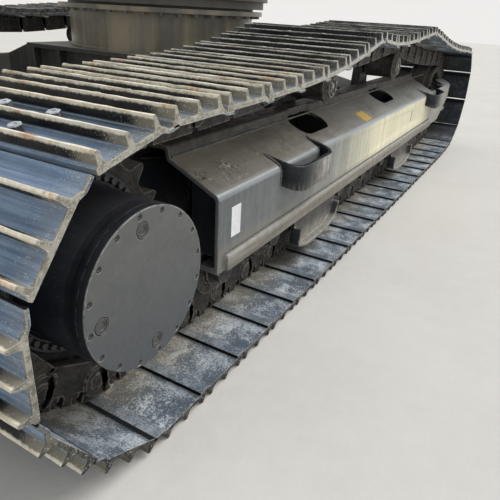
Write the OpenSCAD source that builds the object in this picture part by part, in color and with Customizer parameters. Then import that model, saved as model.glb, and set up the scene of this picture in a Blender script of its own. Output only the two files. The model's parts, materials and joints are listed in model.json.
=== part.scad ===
// Crawler undercarriage of a large excavator: two crawler units, the carbody
// between them, and the slewing ring that carries the upper works.
// Millimetres. +X is forward, towards the idlers; +Y is left; +Z is up.
// The origin is on the ground, under the slewing axis.

/* [Track chain] */
// Distance between two chain pins
pitch = 216; // [210:1:222]
// Number of links and shoes in one track
shoe_count = 49; // [47:1:51]
// Height of the chain link
link_h = 129; // [120:1:136]
// Height of the pin above the shoe plate
pin_h = 65; // [60:1:68]
// Outer width over both link rails
chain_w = 212; // [200:2:224]
// Width of one link rail
rail_w = 46; // [40:1:50]
// Radius of the bushing on each pin
bushing_r = 33; // [30:1:36]
// How far the chain has moved round its loop
chain_phase = 171; // [0:1:215]

/* [Track shoe] */
// Width of the shoe
shoe_w = 700; // [600:10:800]
// Thickness of the shoe plate
plate_t = 13; // [10:1:16]
// Height of the grouser bars above the plate
grouser_h = 32; // [26:1:38]
// Distance between grouser bars on one shoe
grouser_step = 84; // [80:1:88]
// Thickness of a grouser bar at its tip
grouser_tip = 9; // [7:1:12]
// Thickness of a grouser bar at its root
grouser_root = 17; // [14:1:22]

/* [Layout] */
// Distance between the middles of the two tracks
gauge = 2740; // [2500:10:2800]
// Height of the sprocket centre
sprocket_z = 480; // [470:5:510]
// Height of the idler centre
idler_z = 470; // [450:5:480]
// Pin circle radius round the idler
idler_pin_r = 340; // [325:1:350]
// Carrier roller 1, behind which the top run rises: distance from the sprocket
carrier_1_x = 1510; // [1400:10:1600]
// Carrier roller 2: distance from the sprocket
carrier_2_x = 2650; // [2500:10:2750]
// Height of the pin line over carrier roller 1
carrier_1_pin_z = 956; // [930:1:965]
// Height of the pin line over carrier roller 2
carrier_2_pin_z = 974; // [950:1:985]
// Where the chain leaves the ground behind the first roller, from the sprocket
flat_rear_x = -130; // [-160:10:-100]
// Where the chain leaves the ground ahead of the last roller, from the idler
flat_front_gap = 400; // [330:10:460]

/* [Sprocket and final drive] */
// Number of sprocket teeth
sprocket_teeth = 19; // [19:2:21]
// Width of the sprocket teeth
tooth_w = 84; // [70:1:96]
// Radius of the final drive drum
drum_r = 216; // [190:1:220]
// Distance of the drive cover face inside the end of the shoe
cover_inset = 50; // [8:1:60]
// Thickness of the drive cover
cover_t = 24; // [18:1:32]
// Radius of the round plugs in the drive cover
plug_r = 20; // [14:1:26]
// Radius of the travel motor body
motor_r = 128; // [110:1:140]
// Length of the travel motor body
motor_l = 190; // [150:5:230]

/* [Rollers and idler] */
// Number of track rollers on one side
roller_count = 9; // [8:1:9]
// Tread radius of a track roller
roller_r = 85; // [78:1:90]
// Tread radius of a carrier roller
carrier_r = 72; // [66:1:76]
// Distance from the sprocket to the first track roller
roller_rear_x = 530; // [520:5:600]
// Distance from the idler to the last track roller
roller_front_gap = 580; // [575:5:640]
// Radius of the roller shafts
shaft_r = 34; // [28:1:40]

/* [Side frame] */
// Distance from the sprocket to the rear end of the side frame
frame_rear_gap = 420; // [410:5:480]
// Distance from the front end of the side frame's roof to the idler
frame_front_gap = 620; // [600:5:680]
// How far the side frame's arms reach ahead of the idler's centre
arm_reach = 160; // [120:5:190]
// Half of the outer width of the side frame
frame_half_w = 224; // [210:2:240]
// Width of the flat sole that the track rollers hang under
sole_w = 74; // [66:1:84]
// How far the sole ends behind the idler's shaft
sole_gap = 230; // [210:5:250]
// Length of the idler's fork behind its shaft
fork_l = 400; // [380:5:430]
// Distance of the first rib inside from the side frame's rear end
rib_gap = 330; // [300:10:360]
// Height of the bottom of the side frame
frame_bottom_z = 304; // [298:1:312]
// Height of the top of the outer wall
frame_wall_z = 580; // [550:1:590]
// Height of the roof where it meets the ridge
frame_roof_z = 672; // [655:1:682]
// Height of the ridge
frame_ridge_z = 712; // [695:1:720]
// Distance of the ridge's outer edge from the middle of the track
ridge_out = 20; // [15:1:40]
// Distance of the ridge's inner edge from the middle of the track
ridge_in = 70; // [50:5:90]
// Thickness of the side frame's plates
frame_t = 14; // [10:1:18]
// Radius of the bends in the side frame's plates
bend_r = 26; // [18:1:36]
// Height of the rub bar along the bottom of the wall
rub_bar_h = 58; // [40:1:70]
// Thickness of the rub bar
rub_bar_t = 16; // [10:1:24]
// Thickness of the sole plates that the rollers are bolted under
sole_t = 20; // [16:1:28]
// Length of an oval hole in the roof
hole_l = 300; // [200:5:320]
// Width of an oval hole in the roof
hole_w = 128; // [90:1:134]

/* [Steps and guards] */
// Length of a step
step_l = 390; // [300:5:420]
// How far a step stands out of the wall
step_out = 76; // [50:1:100]
// Height of a step's outer face
step_h = 102; // [80:1:120]
// Outer radius of a step's bends
step_bend_r = 80; // [40:1:90]
// Thickness of a step's plate
step_t = 14; // [8:1:18]
// Length of a roller guard
guard_l = 500; // [420:5:540]
// Height of a roller guard
guard_h = 172; // [140:1:190]
// Thickness of a roller guard's plate
guard_t = 16; // [10:1:20]

/* [Carbody] */
// Height of the carbody's top plate
carbody_top_z = 850; // [820:5:870]
// Height of the carbody's bottom
carbody_bottom_z = 500; // [470:5:520]
// Half length of the carbody's middle
carbody_half_l = 640; // [600:10:700]
// Half width of the carbody's middle
carbody_half_w = 620; // [560:10:680]
// Distance of a leg's outer end ahead of or behind the middle
leg_x = 900; // [850:10:960]
// Half width of a leg at its outer end
leg_half_w = 230; // [190:10:260]
// How far the carbody's front and rear faces stand back under its top plate
face_recess = 60; // [30:5:80]
// Thickness of the carbody's top plate
top_plate_t = 24; // [18:1:32]

/* [Slewing ring] */
// How far the top flange of the outer race stands out
slew_flange_out = 27; // [20:1:36]
// Thickness of the top flange of the outer race
slew_flange_t = 40; // [30:1:50]
// Thickness of the outer race below its flange
outer_race_t = 68; // [62:1:76]
// Radius of the gap between the two races
race_r = 610; // [600:1:620]
// Thickness of the inner race, with its gear teeth
inner_race_t = 90; // [80:1:105]
// Number of teeth of the internal gear
gear_teeth = 92; // [80:1:100]
// Depth of the gear teeth
gear_tooth_h = 24; // [18:1:28]
// Height of the underside of the inner race
slew_z = 1100; // [1080:1:1115]
// Thickness of a race
race_h = 84; // [74:1:94]
// How far the outer race stands above the inner one
race_step = 14; // [8:1:20]
// How far the bolt circle of the outer race lies outside the gap between the races
slew_bolt_out = 42; // [35:1:48]
// Number of bolts through the outer race
slew_bolts = 36; // [24:2:40]
// Radius of the bolt holes in the outer race
slew_hole_r = 13; // [10:0.5:15]

/* [Hidden] */
$fn = 64;

seat = 0.3;
ground_pin_z = plate_t + grouser_h + pin_h;
rail_top_z = plate_t + grouser_h + link_h;
rail_depth = link_h - pin_h;
rail_in_y = chain_w / 2 - rail_w;
sprocket_turn = 720 / sprocket_teeth;
sprocket_pin_r = pitch / 2 / sin(sprocket_turn / 2);
idler_turn = 2 * asin(pitch / 2 / idler_pin_r);

// The pin line, drawn clockwise as the right-hand track is seen: rearwards over
// the ground, up round the sprocket, forwards over the carrier rollers, and down
// round the idler. x is measured from the sprocket. An arc counts for as much
// chain as its links take up.
arc_steps = 36;
span_steps = 16;
sprocket_leave_slope = 0.04;
idler_meet_slope = -0.03;
// columns: slope before the carrier roller, slope after it
carrier_slopes = [[0.30, -0.17], [0.05, -0.20]];

function on_circle(x, z, r, a) = [x + r * cos(a), z + r * sin(a)];
function arc_points(x, z, r, a, b) =
    [for (i = [0 : arc_steps]) on_circle(x, z, r, a + (b - a) * i / arc_steps)];
function hermite(p, q, m, n, t) = [
    p.x + (q.x - p.x) * t,
    p.y * (1 - 3 * t * t + 2 * t * t * t) + q.y * (3 * t * t - 2 * t * t * t)
        + (q.x - p.x) * (m * (t - 2 * t * t + t * t * t) + n * (t * t * t - t * t))
];
function span_points(p, q, m, n) =
    [for (i = [1 : span_steps - 1]) hermite(p, q, m, n, i / span_steps)];
function slope_angle(m) = 90 + atan(m);
function tangent_angle(q, x, z, r, side) =
    atan2(q.y - z, q.x - x) + side * acos(r / norm([q.x - x, q.y - z]));

function rear_touch() = tangent_angle([flat_rear_x, ground_pin_z], 0, sprocket_z, sprocket_pin_r, -1);
function front_touch(xi) = tangent_angle([xi - flat_front_gap, ground_pin_z], xi, idler_z, idler_pin_r, 1);
function sprocket_arc() =
    arc_points(0, sprocket_z, sprocket_pin_r, rear_touch() + 360, slope_angle(sprocket_leave_slope));
function idler_arc(xi) =
    arc_points(xi, idler_z, idler_pin_r, slope_angle(idler_meet_slope), front_touch(xi));
function top_run(xi) =
    let (a = on_circle(0, sprocket_z, sprocket_pin_r, slope_angle(sprocket_leave_slope)),
         b = [carrier_1_x, carrier_1_pin_z],
         c = [carrier_2_x, carrier_2_pin_z],
         d = on_circle(xi, idler_z, idler_pin_r, slope_angle(idler_meet_slope)))
    concat(span_points(a, b, sprocket_leave_slope, carrier_slopes[0][0]), [b],
           span_points(b, c, carrier_slopes[0][1], carrier_slopes[1][0]), [c],
           span_points(c, d, carrier_slopes[1][1], idler_meet_slope));
// each point of the pin line, with the share of its next step that counts as chain
function pin_line(xi) =
    let (s = sprocket_arc(), t = top_run(xi), i = idler_arc(xi),
         sprocket_share = (pitch / (sprocket_pin_r * sprocket_turn * PI / 180)),
         idler_share = (pitch / (idler_pin_r * idler_turn * PI / 180)))
    concat([[xi - flat_front_gap, ground_pin_z, 1], [flat_rear_x, ground_pin_z, 1]],
           [for (k = [0 : arc_steps]) [s[k].x, s[k].y, k < arc_steps ? sprocket_share : 1]],
           [for (p = t) [p.x, p.y, 1]],
           [for (k = [0 : arc_steps]) [i[k].x, i[k].y, k < arc_steps ? idler_share : 1]],
           [[xi - flat_front_gap, ground_pin_z, 1]]);
function step_lengths(line) =
    [for (i = [0 : len(line) - 2])
        line[i][2] * norm([line[i + 1].x - line[i].x, line[i + 1].y - line[i].y])];
function sum(v, i = 0, total = 0) = i == len(v) ? total : sum(v, i + 1, total + v[i]);
function chain_length(xi) = sum(step_lengths(pin_line(xi)));
// the idler stands where the chain's links close the loop
function close_loop(xi, tries) =
    tries == 0 ? xi : close_loop(xi + (shoe_count * pitch - chain_length(xi)) / 2, tries - 1);
idler_x = close_loop(pitch * shoe_count * 0.4, 12);
line = pin_line(idler_x);
steps = step_lengths(line);
reach = [for (i = 0, s = 0; i < len(line); s = s + (i < len(steps) ? steps[i] : 0), i = i + 1) s];
x_table = [for (i = [0 : len(line) - 1]) [reach[i], line[i].x]];
z_table = [for (i = [0 : len(line) - 1]) [reach[i], line[i].y]];
function pin(k) =
    let (s = ((k + shoe_count) % shoe_count) * pitch + chain_phase)
    [lookup(s, x_table), lookup(s, z_table)];
pins = [for (k = [0 : shoe_count]) pin(k)];
function unit(v) = v / norm(v);
// a point beside link k: along the link from its middle, and outwards from its pins
function at_link(k, along, out) =
    let (p = pins[k], q = pins[k + 1], d = unit(q - p))
    (p + q) / 2 + along * d + out * [-d.y, d.x];
function at_pin(k, out) =
    let (d = unit(pins[(k + 1) % shoe_count] - pins[(k + shoe_count - 1) % shoe_count]))
    pins[k % shoe_count] + out * [-d.y, d.x];

plate_out = pin_h + plate_t;
tip_out = plate_out + grouser_h;
shoe_lap = pitch / 2 - grouser_step - grouser_tip / 2;
// columns: along the link, outwards from the pins; the lip's end is the next shoe's first point
shoe_outline = concat(
    [[-grouser_step - grouser_tip / 2 - 4, pin_h + 4]],
    [for (g = [-1 : 1]) for (c = [[-grouser_root / 2, plate_out], [-grouser_tip / 2, tip_out],
                                  [grouser_tip / 2, tip_out], [grouser_root / 2, plate_out]])
        if (g > -1 || c.x > -grouser_root / 2) [g * grouser_step + c.x, c.y]]
);
tips = [for (k = [0 : shoe_count - 1]) for (p = shoe_outline) at_link(k, p.x, p.y)];
rear_end = min([for (p = tips) p.x]);
front_end = max([for (p = tips) p.x]);
// the slewing axis is at the middle of the tracks
sprocket_at = -(rear_end + front_end) / 2;
idler_at = sprocket_at + idler_x;

track_y = gauge / 2;
roller_z = rail_top_z + roller_r + seat;
roller_first = sprocket_at + roller_rear_x;
roller_last = idler_at - roller_front_gap;
roller_step = (roller_last - roller_first) / (roller_count - 1);
frame_rear = sprocket_at + frame_rear_gap;
frame_front = idler_at - frame_front_gap;

// Outlines of bent plates: each corner is x, y and the radius of its bend
bend_steps = 4;
function corner_arc(p, q, r) =
    let (a = unit([p.x - q.x, p.y - q.y]), b = unit([r.x - q.x, r.y - q.y]), half = acos(a * b) / 2,
         middle = [q.x, q.y] + unit(a + b) * q[2] / sin(half), sweep = 180 - 2 * half,
         start = [q.x, q.y] + a * q[2] / tan(half) - middle, end = [q.x, q.y] + b * q[2] / tan(half) - middle)
    [for (i = [0 : bend_steps]) let (t = i / bend_steps)
        middle + (start * sin(sweep * (1 - t)) + end * sin(sweep * t)) / sin(sweep)];
function rounded(points) =
    [for (i = [0 : len(points) - 1]) let (n = len(points), q = points[i])
        for (p = q[2] > 0 ? corner_arc(points[(i + n - 1) % n], q, points[(i + 1) % n]) : [[q.x, q.y]]) p];
// the same corners, anticlockwise, moved inwards by t
function inset(points, t) =
    [for (i = [0 : len(points) - 1])
        let (n = len(points), p = points[(i + n - 1) % n], q = points[i], r = points[(i + 1) % n],
             a = unit([p.x - q.x, p.y - q.y]), b = unit([r.x - q.x, r.y - q.y]),
             turn = sign(a.y * b.x - a.x * b.y),
             at = [q.x, q.y] + turn * unit(a + b) * t / sin(acos(a * b) / 2))
        [at.x, at.y, max(q[2] - turn * t, 0)]];

// A left-hand piece stands at the left track; its right-hand twin is its mirror image
module on_side(side) {
    mirror([0, side == "right" ? 1 : 0, 0]) translate([0, track_y, 0]) children();
}

// An outline of x and z, extruded across the track from y to y + w
module across(y, w) {
    translate([0, y + w, 0]) rotate([90, 0, 0]) linear_extrude(w) children();
}

// A round piece whose axis runs across the track
module drum(x, z, y, w, r) {
    translate([x, y, z]) rotate([-90, 0, 0]) cylinder(h = w, r = r);
}

// A profile of radius and y, turned about a cross axis
module turned(x, z) {
    translate([x, 0, z]) rotate([-90, 0, 0]) rotate_extrude() children();
}

// The shoes and the chain: one closed loop
module track(side) {
    belt_out = [for (k = [0 : shoe_count - 1]) for (p = shoe_outline) at_link(k, p.x, p.y)];
    belt_in = [for (k = [0 : shoe_count - 1]) at_pin(k, pin_h)];
    rail_out = [for (k = [0 : shoe_count - 1]) at_pin(k, pin_h + plate_t / 3)];
    rail_in = [for (k = [0 : shoe_count - 1]) at_pin(k, -rail_depth)];
    color("dimgray") on_side(side) translate([sprocket_at, 0, 0]) {
        across(-shoe_w / 2, shoe_w) difference() {
            polygon(belt_out);
            polygon(belt_in);
        }
        for (y = [-chain_w / 2, rail_in_y]) across(y, rail_w) difference() {
            polygon(rail_out);
            polygon(rail_in);
        }
    }
}

// Toothed ring; every second gap holds a bushing
module sprocket(side) {
    gap_angle = 360 / sprocket_teeth;
    crown = 6;
    root_r = sprocket_pin_r - bushing_r - 2;
    flank_r = sprocket_pin_r - bushing_r * 0.6;
    tooth_r = sprocket_pin_r + bushing_r / 2;
    first = [for (k = [0 : shoe_count - 1]) if (pins[k].x < -sprocket_pin_r * 0.8) k][0];
    turn = atan2(pins[first].y - sprocket_z, pins[first].x);
    // columns: share of a tooth's angle from the gap's middle, radius
    tooth = [[0.20, root_r], [0.30, flank_r], [0.41, tooth_r - crown], [0.46, tooth_r],
             [0.54, tooth_r], [0.59, tooth_r - crown], [0.70, flank_r], [0.80, root_r]];
    color("dimgray") on_side(side) translate([sprocket_at, 0, 0])
        across(-tooth_w / 2, tooth_w) translate([0, sprocket_z]) difference() {
            polygon([for (i = [0 : sprocket_teeth - 1]) for (t = tooth)
                on_circle(0, 0, t[1], turn + (i + t[0]) * gap_angle)]);
            circle(r = drum_r + seat);
        }
}

drum_in = -chain_w / 2 - 34;
drum_out = shoe_w / 2 - cover_inset - cover_t;

// The turning drum of the final drive, with the flange that the sprocket bolts to
module final_drive(side) {
    seat_out = tooth_w / 2;
    flange_r = drum_r + 40;
    flange_t = 18;
    neck_r = drum_r - 12;
    groove = 8;
    groove_out = drum_out - 14;
    groove_in = drum_out - 46;
    fall = 6;
    color("#1c1c1e") on_side(side) turned(sprocket_at, sprocket_z) polygon([
        [0, drum_in], [neck_r, drum_in], [neck_r, -seat_out - flange_t], [drum_r, -seat_out],
        [drum_r, seat_out + seat], [flange_r, seat_out + seat], [flange_r, seat_out + flange_t],
        [drum_r, seat_out + flange_t], [drum_r, groove_in], [drum_r - groove, groove_in + fall],
        [drum_r - groove, groove_out - fall], [drum_r, groove_out], [drum_r, drum_out], [0, drum_out]
    ]);
}

// The round cover on the end of the drum, with its three plug holes
module drive_cover(side) {
    plug_ring = drum_r * 0.77;
    plug_depth = 8;
    chamfer = 5;
    color("#3a3a3c") on_side(side) difference() {
        turned(sprocket_at, sprocket_z) polygon([
            [0, drum_out], [drum_r, drum_out], [drum_r, drum_out + cover_t - chamfer],
            [drum_r - chamfer, drum_out + cover_t], [0, drum_out + cover_t]
        ]);
        for (a = [96, 186, 276]) let (p = on_circle(sprocket_at, sprocket_z, plug_ring, a))
            drum(p.x, p.y, drum_out + cover_t - plug_depth, plug_depth + 1, plug_r);
    }
}

bracket_t = 40;
bracket_y = drum_in - seat - bracket_t;
motor_end = bracket_y - motor_l;

// The travel motor behind the sprocket, inside the crawler
module travel_motor(side) {
    flange_r = motor_r + 22;
    flange_l = motor_l * 0.45;
    valve_w = 140;
    valve_h = 62;
    color("#262628") on_side(side) {
        turned(sprocket_at, sprocket_z) polygon([
            [0, motor_end], [motor_r * 0.6, motor_end], [motor_r, motor_end + 30],
            [motor_r, bracket_y - flange_l - 22], [flange_r, bracket_y - flange_l],
            [flange_r, bracket_y - seat], [0, bracket_y - seat]
        ]);
        translate([sprocket_at - valve_w / 2, motor_end + 30, sprocket_z + motor_r - valve_h / 2])
            cube([valve_w, motor_l * 0.5, valve_h]);
    }
}

// The bent plate that shields the travel motor, from below and behind
module motor_guard(side) {
    plate = 10;
    guard_r = motor_r + 60;
    overhang = 30;
    color("#2c2b2a") on_side(side) across(motor_end - overhang, motor_l + overhang - seat)
        translate([sprocket_at, sprocket_z]) difference() {
            union() {
                circle(r = guard_r);
                translate([0, -guard_r]) square([guard_r, guard_r]);
            }
            circle(r = guard_r - plate);
            translate([0, plate - guard_r]) square([guard_r + 1, 2 * guard_r]);
        }
}

// Outline of the side frame's section; columns: y from the track's middle, z, radius of the bend
inner_rise = 26;
roof_foot = 10;
frame_section = [
    [frame_half_w, frame_bottom_z, 0], [frame_half_w, frame_wall_z, bend_r],
    [ridge_out + roof_foot, frame_roof_z, 0], [ridge_out, frame_ridge_z, bend_r / 2],
    [-ridge_in, frame_ridge_z, bend_r], [-frame_half_w, frame_wall_z + inner_rise, bend_r],
    [-frame_half_w, frame_bottom_z, 0]
];

// A section of y and z, extruded forwards from x
module along(x, l) {
    translate([x, 0, 0]) rotate([90, 0, 90]) linear_extrude(l) children();
}

// An oval with its long side along x
module oval(l, w) {
    for (s = [-1, 1]) translate([s * (l - w) / 2, 0]) circle(d = w);
    square([l - w, w], center = true);
}

frame_inner_y = frame_half_w - frame_t;
arm_inner_y = chain_w / 2 + 16;
yoke_t = 28;
arm_end = idler_at + arm_reach;
nose_l = 110;
slide_h = 190;
// the yoke's crosshead slides between the walls, behind the idler
head_x = idler_at - fork_l;
sole_end = idler_at - sole_gap;
rib_x = frame_rear + rib_gap;
sole_in_y = frame_half_w - sole_w;
hole_y = 78;
slot_z = 482;
// columns: distance of each oval hole's middle from the sprocket
roof_holes = [1403, 2573];
slot_x = 2933;

// The folded box of the side frame: open behind, and forked for the idler in front
module frame_box() {
    l = arm_end - frame_rear;
    rake = 220;
    nose_rise = 30;
    nose_r = 60;
    brow_r = 120;
    slot_l = 80;
    slot_w = 22;
    difference() {
        intersection() {
            along(frame_rear, l) polygon(rounded(frame_section));
            across(-frame_half_w, 2 * frame_half_w) polygon(rounded([
                [frame_rear, frame_bottom_z, 0], [idler_at - rake, frame_bottom_z, 0],
                [arm_end, idler_z + nose_rise, nose_r], [arm_end, frame_ridge_z, brow_r],
                [frame_rear, frame_ridge_z, 0]
            ]));
            linear_extrude(frame_ridge_z) polygon(rounded([
                [frame_rear, -frame_half_w, 0], [arm_end, -frame_half_w, nose_r],
                [arm_end, frame_half_w, nose_r], [frame_rear, frame_half_w, 0]
            ]));
        }
        along(frame_rear - 1, l + 2) polygon(rounded(inset(frame_section, frame_t)));
        translate([frame_rear - 1, -frame_inner_y, frame_bottom_z - 1])
            cube([l + 2, 2 * frame_inner_y, 2 * frame_t]);
        translate([frame_front, -arm_inner_y, 0]) cube([l, 2 * arm_inner_y, 2 * frame_ridge_z]);
        translate([frame_front, -frame_inner_y, idler_z])
            cube([frame_front_gap - nose_l, 2 * frame_inner_y, frame_ridge_z]);
        for (x = roof_holes) translate([sprocket_at + x, hole_y, frame_wall_z - bend_r])
            linear_extrude(frame_ridge_z) oval(hole_l, hole_w);
        across(frame_inner_y - 1, frame_t + 2) translate([sprocket_at + slot_x, slot_z])
            rotate(90) oval(slot_l, slot_w);
    }
}

module side_frame(side) {
    rail_t = 24;
    rail_l = 320;
    rail_in_y = arm_inner_y + yoke_t;
    color("#34322f") on_side(side) {
        frame_box();
        along(rib_x, frame_t) polygon(rounded(frame_section));
        for (s = [-1, 1]) mirror([0, s < 0 ? 1 : 0, 0]) {
            // sole plate over the rollers, and rub bar along the wall
            translate([frame_rear, sole_in_y, frame_bottom_z])
                cube([sole_end - frame_rear, frame_inner_y - sole_in_y + 1, sole_t]);
            translate([frame_rear + 40, frame_half_w - 1, frame_bottom_z + 4])
                cube([frame_front - frame_rear, rub_bar_t + 1, rub_bar_h]);
            // rails that the idler's bearing slides between
            for (z = [idler_z - slide_h / 2 - rail_t, idler_z + slide_h / 2])
                translate([arm_end - rail_l, rail_in_y, z])
                    cube([rail_l - 40, frame_inner_y - rail_in_y + 1, rail_t]);
        }
        // bracket that carries the travel motor and final drive
        difference() {
            across(bracket_y, bracket_t) union() {
                translate([sprocket_at, sprocket_z]) circle(r = drum_r + 30);
                polygon([[sprocket_at, sprocket_z - drum_r - 20], [rib_x + 1, roller_z + roller_r + 12],
                         [rib_x + 1, frame_wall_z], [sprocket_at, sprocket_z + drum_r + 20]]);
            }
            drum(sprocket_at, sprocket_z, bracket_y - 1, bracket_t + 2, motor_r - 40);
        }
    }
}

// Wheel with a middle flange between the link rails
module idler(side) {
    tread = idler_pin_r * cos(idler_turn / 2) - rail_depth - seat;
    flange = tread + 20;
    rim_in = tread - 44;
    rim_half = 100;
    hub_r = 96;
    hub_half = 88;
    web_half = 46;
    web_r = 150;
    guide_half = rail_in_y - 6;
    half = [[shaft_r + seat, hub_half], [hub_r, hub_half], [hub_r, hub_half - 28], [web_r, web_half],
            [rim_in - 16, web_half], [rim_in, rim_half], [tread, rim_half], [tread, guide_half],
            [flange, guide_half - 6]];
    color("#4a4742") on_side(side) turned(idler_at, idler_z) polygon(concat(
        [for (p = half) [p.x, -p.y]], [for (i = [1 : len(half)]) half[len(half) - i]]));
}

// The fork that holds the idler's shaft and slides in the side frame
module idler_yoke(side) {
    arm_in = chain_w / 2 + 4;
    arm_out = arm_inner_y + yoke_t - seat;
    block_half = slide_h / 2 - seat;
    head_l = 60;
    head_half_h = 70;
    color("#3b3a38") on_side(side) {
        drum(idler_at, idler_z, -arm_out, 2 * arm_out, shaft_r);
        for (s = [-1, 1]) mirror([0, s < 0 ? 1 : 0, 0]) {
            across(arm_in, arm_out - arm_in) union() {
                translate([idler_at, idler_z]) circle(r = block_half);
                polygon([[head_x, idler_z - head_half_h], [idler_at, idler_z - block_half],
                         [idler_at, idler_z + block_half], [head_x, idler_z + head_half_h]]);
            }
            // bearing block between the guide rails
            translate([idler_at - block_half, arm_out - 1, idler_z - block_half])
                cube([2 * block_half, frame_inner_y - 4 - arm_out, 2 * block_half]);
        }
        translate([head_x, seat - frame_inner_y, idler_z - head_half_h])
            cube([head_l, 2 * (frame_inner_y - seat), 2 * head_half_h]);
    }
}

// The recoil spring and grease cylinder behind the yoke
module track_adjuster(side) {
    spring_r = 95;
    spring_l = 620;
    wire_r = 19;
    plate_l = 40;
    plate_r = spring_r + 6;
    coils = 8;
    coil_step = (spring_l - 2 * plate_l - 2 * wire_r) / coils;
    color("#55524c") on_side(side) translate([head_x - spring_l, 0, idler_z]) rotate([0, 90, 0]) {
        cylinder(h = spring_l - seat, r = spring_r - 34);
        cylinder(h = plate_l, r = plate_r);
        translate([0, 0, spring_l - plate_l]) cylinder(h = plate_l - seat, r = plate_r);
        for (i = [0 : coils - 1]) translate([0, 0, plate_l + wire_r + (i + 0.5) * coil_step])
            rotate_extrude() translate([spring_r - wire_r - 3, 0]) circle(r = wire_r);
    }
}

// Underside of the link rails, and how high a carrier roller at x can stand below it
rail_points = [for (k = [0 : shoe_count - 1]) at_pin(k, -rail_depth)];
function under_rail(x) = min([for (k = [0 : shoe_count - 1])
    let (p = rail_points[k], q = rail_points[(k + 1) % shoe_count], run = q.x - p.x)
    if (run > pitch / 2 && abs((p.x + q.x) / 2 - x) < pitch)
        p.y + (x - p.x) * (q.y - p.y) / run - (carrier_r + seat) * norm(q - p) / run]);
// columns: distance from the sprocket, height of the axis
carriers = [for (x = [carrier_1_x, carrier_2_x]) [x, under_rail(x)]];

roller_end = -ridge_in;

module carrier_rollers(side) {
    hub_r = 44;
    rail_out_y = chain_w / 2;
    flange_r = carrier_r + 10;
    cap_r = carrier_r - 20;
    cap_end = rail_out_y + 34;
    color("#3f3c38") on_side(side) for (c = carriers) turned(sprocket_at + c.x, c.y) polygon([
        [0, roller_end], [hub_r, roller_end], [hub_r, roller_end + 10], [carrier_r, roller_end + 10],
        [carrier_r, rail_out_y + 4], [flange_r, rail_out_y + 8], [flange_r, rail_out_y + 18],
        [carrier_r - 6, rail_out_y + 24], [cap_r, rail_out_y + 26], [cap_r, cap_end], [0, cap_end]
    ]);
}

// Posts on the roof that hold the carrier rollers' shafts
module carrier_brackets(side) {
    post_l = 120;
    foot_l = 180;
    post_w = 60;
    post_in = -ridge_in - post_w - 10;
    color("#34322f") on_side(side) for (c = carriers) {
        difference() {
            across(post_in, post_w) union() {
                translate([sprocket_at + c.x, c.y]) circle(r = post_l / 2);
                translate([sprocket_at + c.x, frame_wall_z]) polygon([
                    [-foot_l / 2, 0], [foot_l / 2, 0], [post_l / 2, c.y - frame_wall_z],
                    [-post_l / 2, c.y - frame_wall_z]
                ]);
            }
            along(sprocket_at + c.x - post_l, 2 * post_l) polygon(rounded(frame_section));
        }
        drum(sprocket_at + c.x, c.y, post_in + post_w - 1, roller_end - seat - post_in - post_w + 1, shaft_r);
    }
}

collar_in_y = sole_in_y + 2;
collar_t = 36;

module track_rollers(side) {
    collar_r = shaft_r + 10;
    collar_l = 150;
    foot_z = frame_bottom_z - 20;
    hub_r = 62;
    hub_y = collar_in_y - 4;
    flange_r = roller_r + 18;
    flange_in = chain_w / 2 + 6;
    flange_out = flange_in + 16;
    tread_in = rail_in_y - 16;
    // columns: radius, y
    half = [[0, collar_in_y + 1], [shaft_r, collar_in_y + 1], [shaft_r, hub_y], [hub_r, hub_y],
            [hub_r, flange_out + 4], [flange_r, flange_out], [flange_r, flange_in],
            [roller_r, flange_in - 6], [roller_r, tread_in], [hub_r, tread_in - 10]];
    color("#2f2c29") on_side(side) for (i = [0 : roller_count - 1]) {
        x = roller_first + i * roller_step;
        turned(x, roller_z) polygon(concat(
            [for (p = half) p], [for (i = [1 : len(half)]) let (p = half[len(half) - i]) [p.x, -p.y]]));
        // collars under the sole plates, with the ends of the shaft
        for (s = [-1, 1]) mirror([0, s < 0 ? 1 : 0, 0]) across(collar_in_y, collar_t) intersection() {
            union() {
                translate([x, roller_z]) circle(r = collar_r);
                polygon([[x - collar_r, roller_z], [x + collar_r, roller_z], [x + collar_l / 2, foot_z],
                         [x + collar_l / 2, frame_bottom_z], [x - collar_l / 2, frame_bottom_z],
                         [x - collar_l / 2, foot_z]]);
            }
            translate([x - collar_l, 0]) square([2 * collar_l, frame_bottom_z - seat]);
        }
    }
}

// Pans that keep stones out from between the rollers
module track_guards(side) {
    rim = 34;
    guard_in_y = collar_in_y + collar_t + seat;
    top = frame_bottom_z - seat;
    low = frame_bottom_z - guard_h;
    // columns: x from the guard's middle, z, radius of the corner
    outline = [[-guard_l / 2 + 30, top, 0], [-guard_l / 2, low + 34, 24], [-guard_l / 2 + 110, low, 60],
               [guard_l / 2 - 150, low, 60], [guard_l / 2 - 40, low + 34, 60], [guard_l / 2, top - 30, 16],
               [guard_l / 2, top, 0]];
    color("#8d877c") on_side(side) for (i = [2, roller_count - 3])
        for (s = [-1, 1]) mirror([0, s < 0 ? 1 : 0, 0]) translate([roller_first + i * roller_step, 0, 0]) {
            across(guard_in_y, guard_t) polygon(rounded(outline));
            // rim bent outwards along the lower edge
            across(guard_in_y + guard_t - 1, rim) difference() {
                polygon(rounded(outline));
                polygon(rounded(inset(outline, guard_t)));
                translate([-guard_l, top - 60]) square([2 * guard_l, 100]);
            }
        }
}

step_top_z = frame_wall_z + 4;
step_rise = 34;
step_drop = 24;
// columns: distance of each step's rear end from the sprocket
step_places = [853, 3343];

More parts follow.
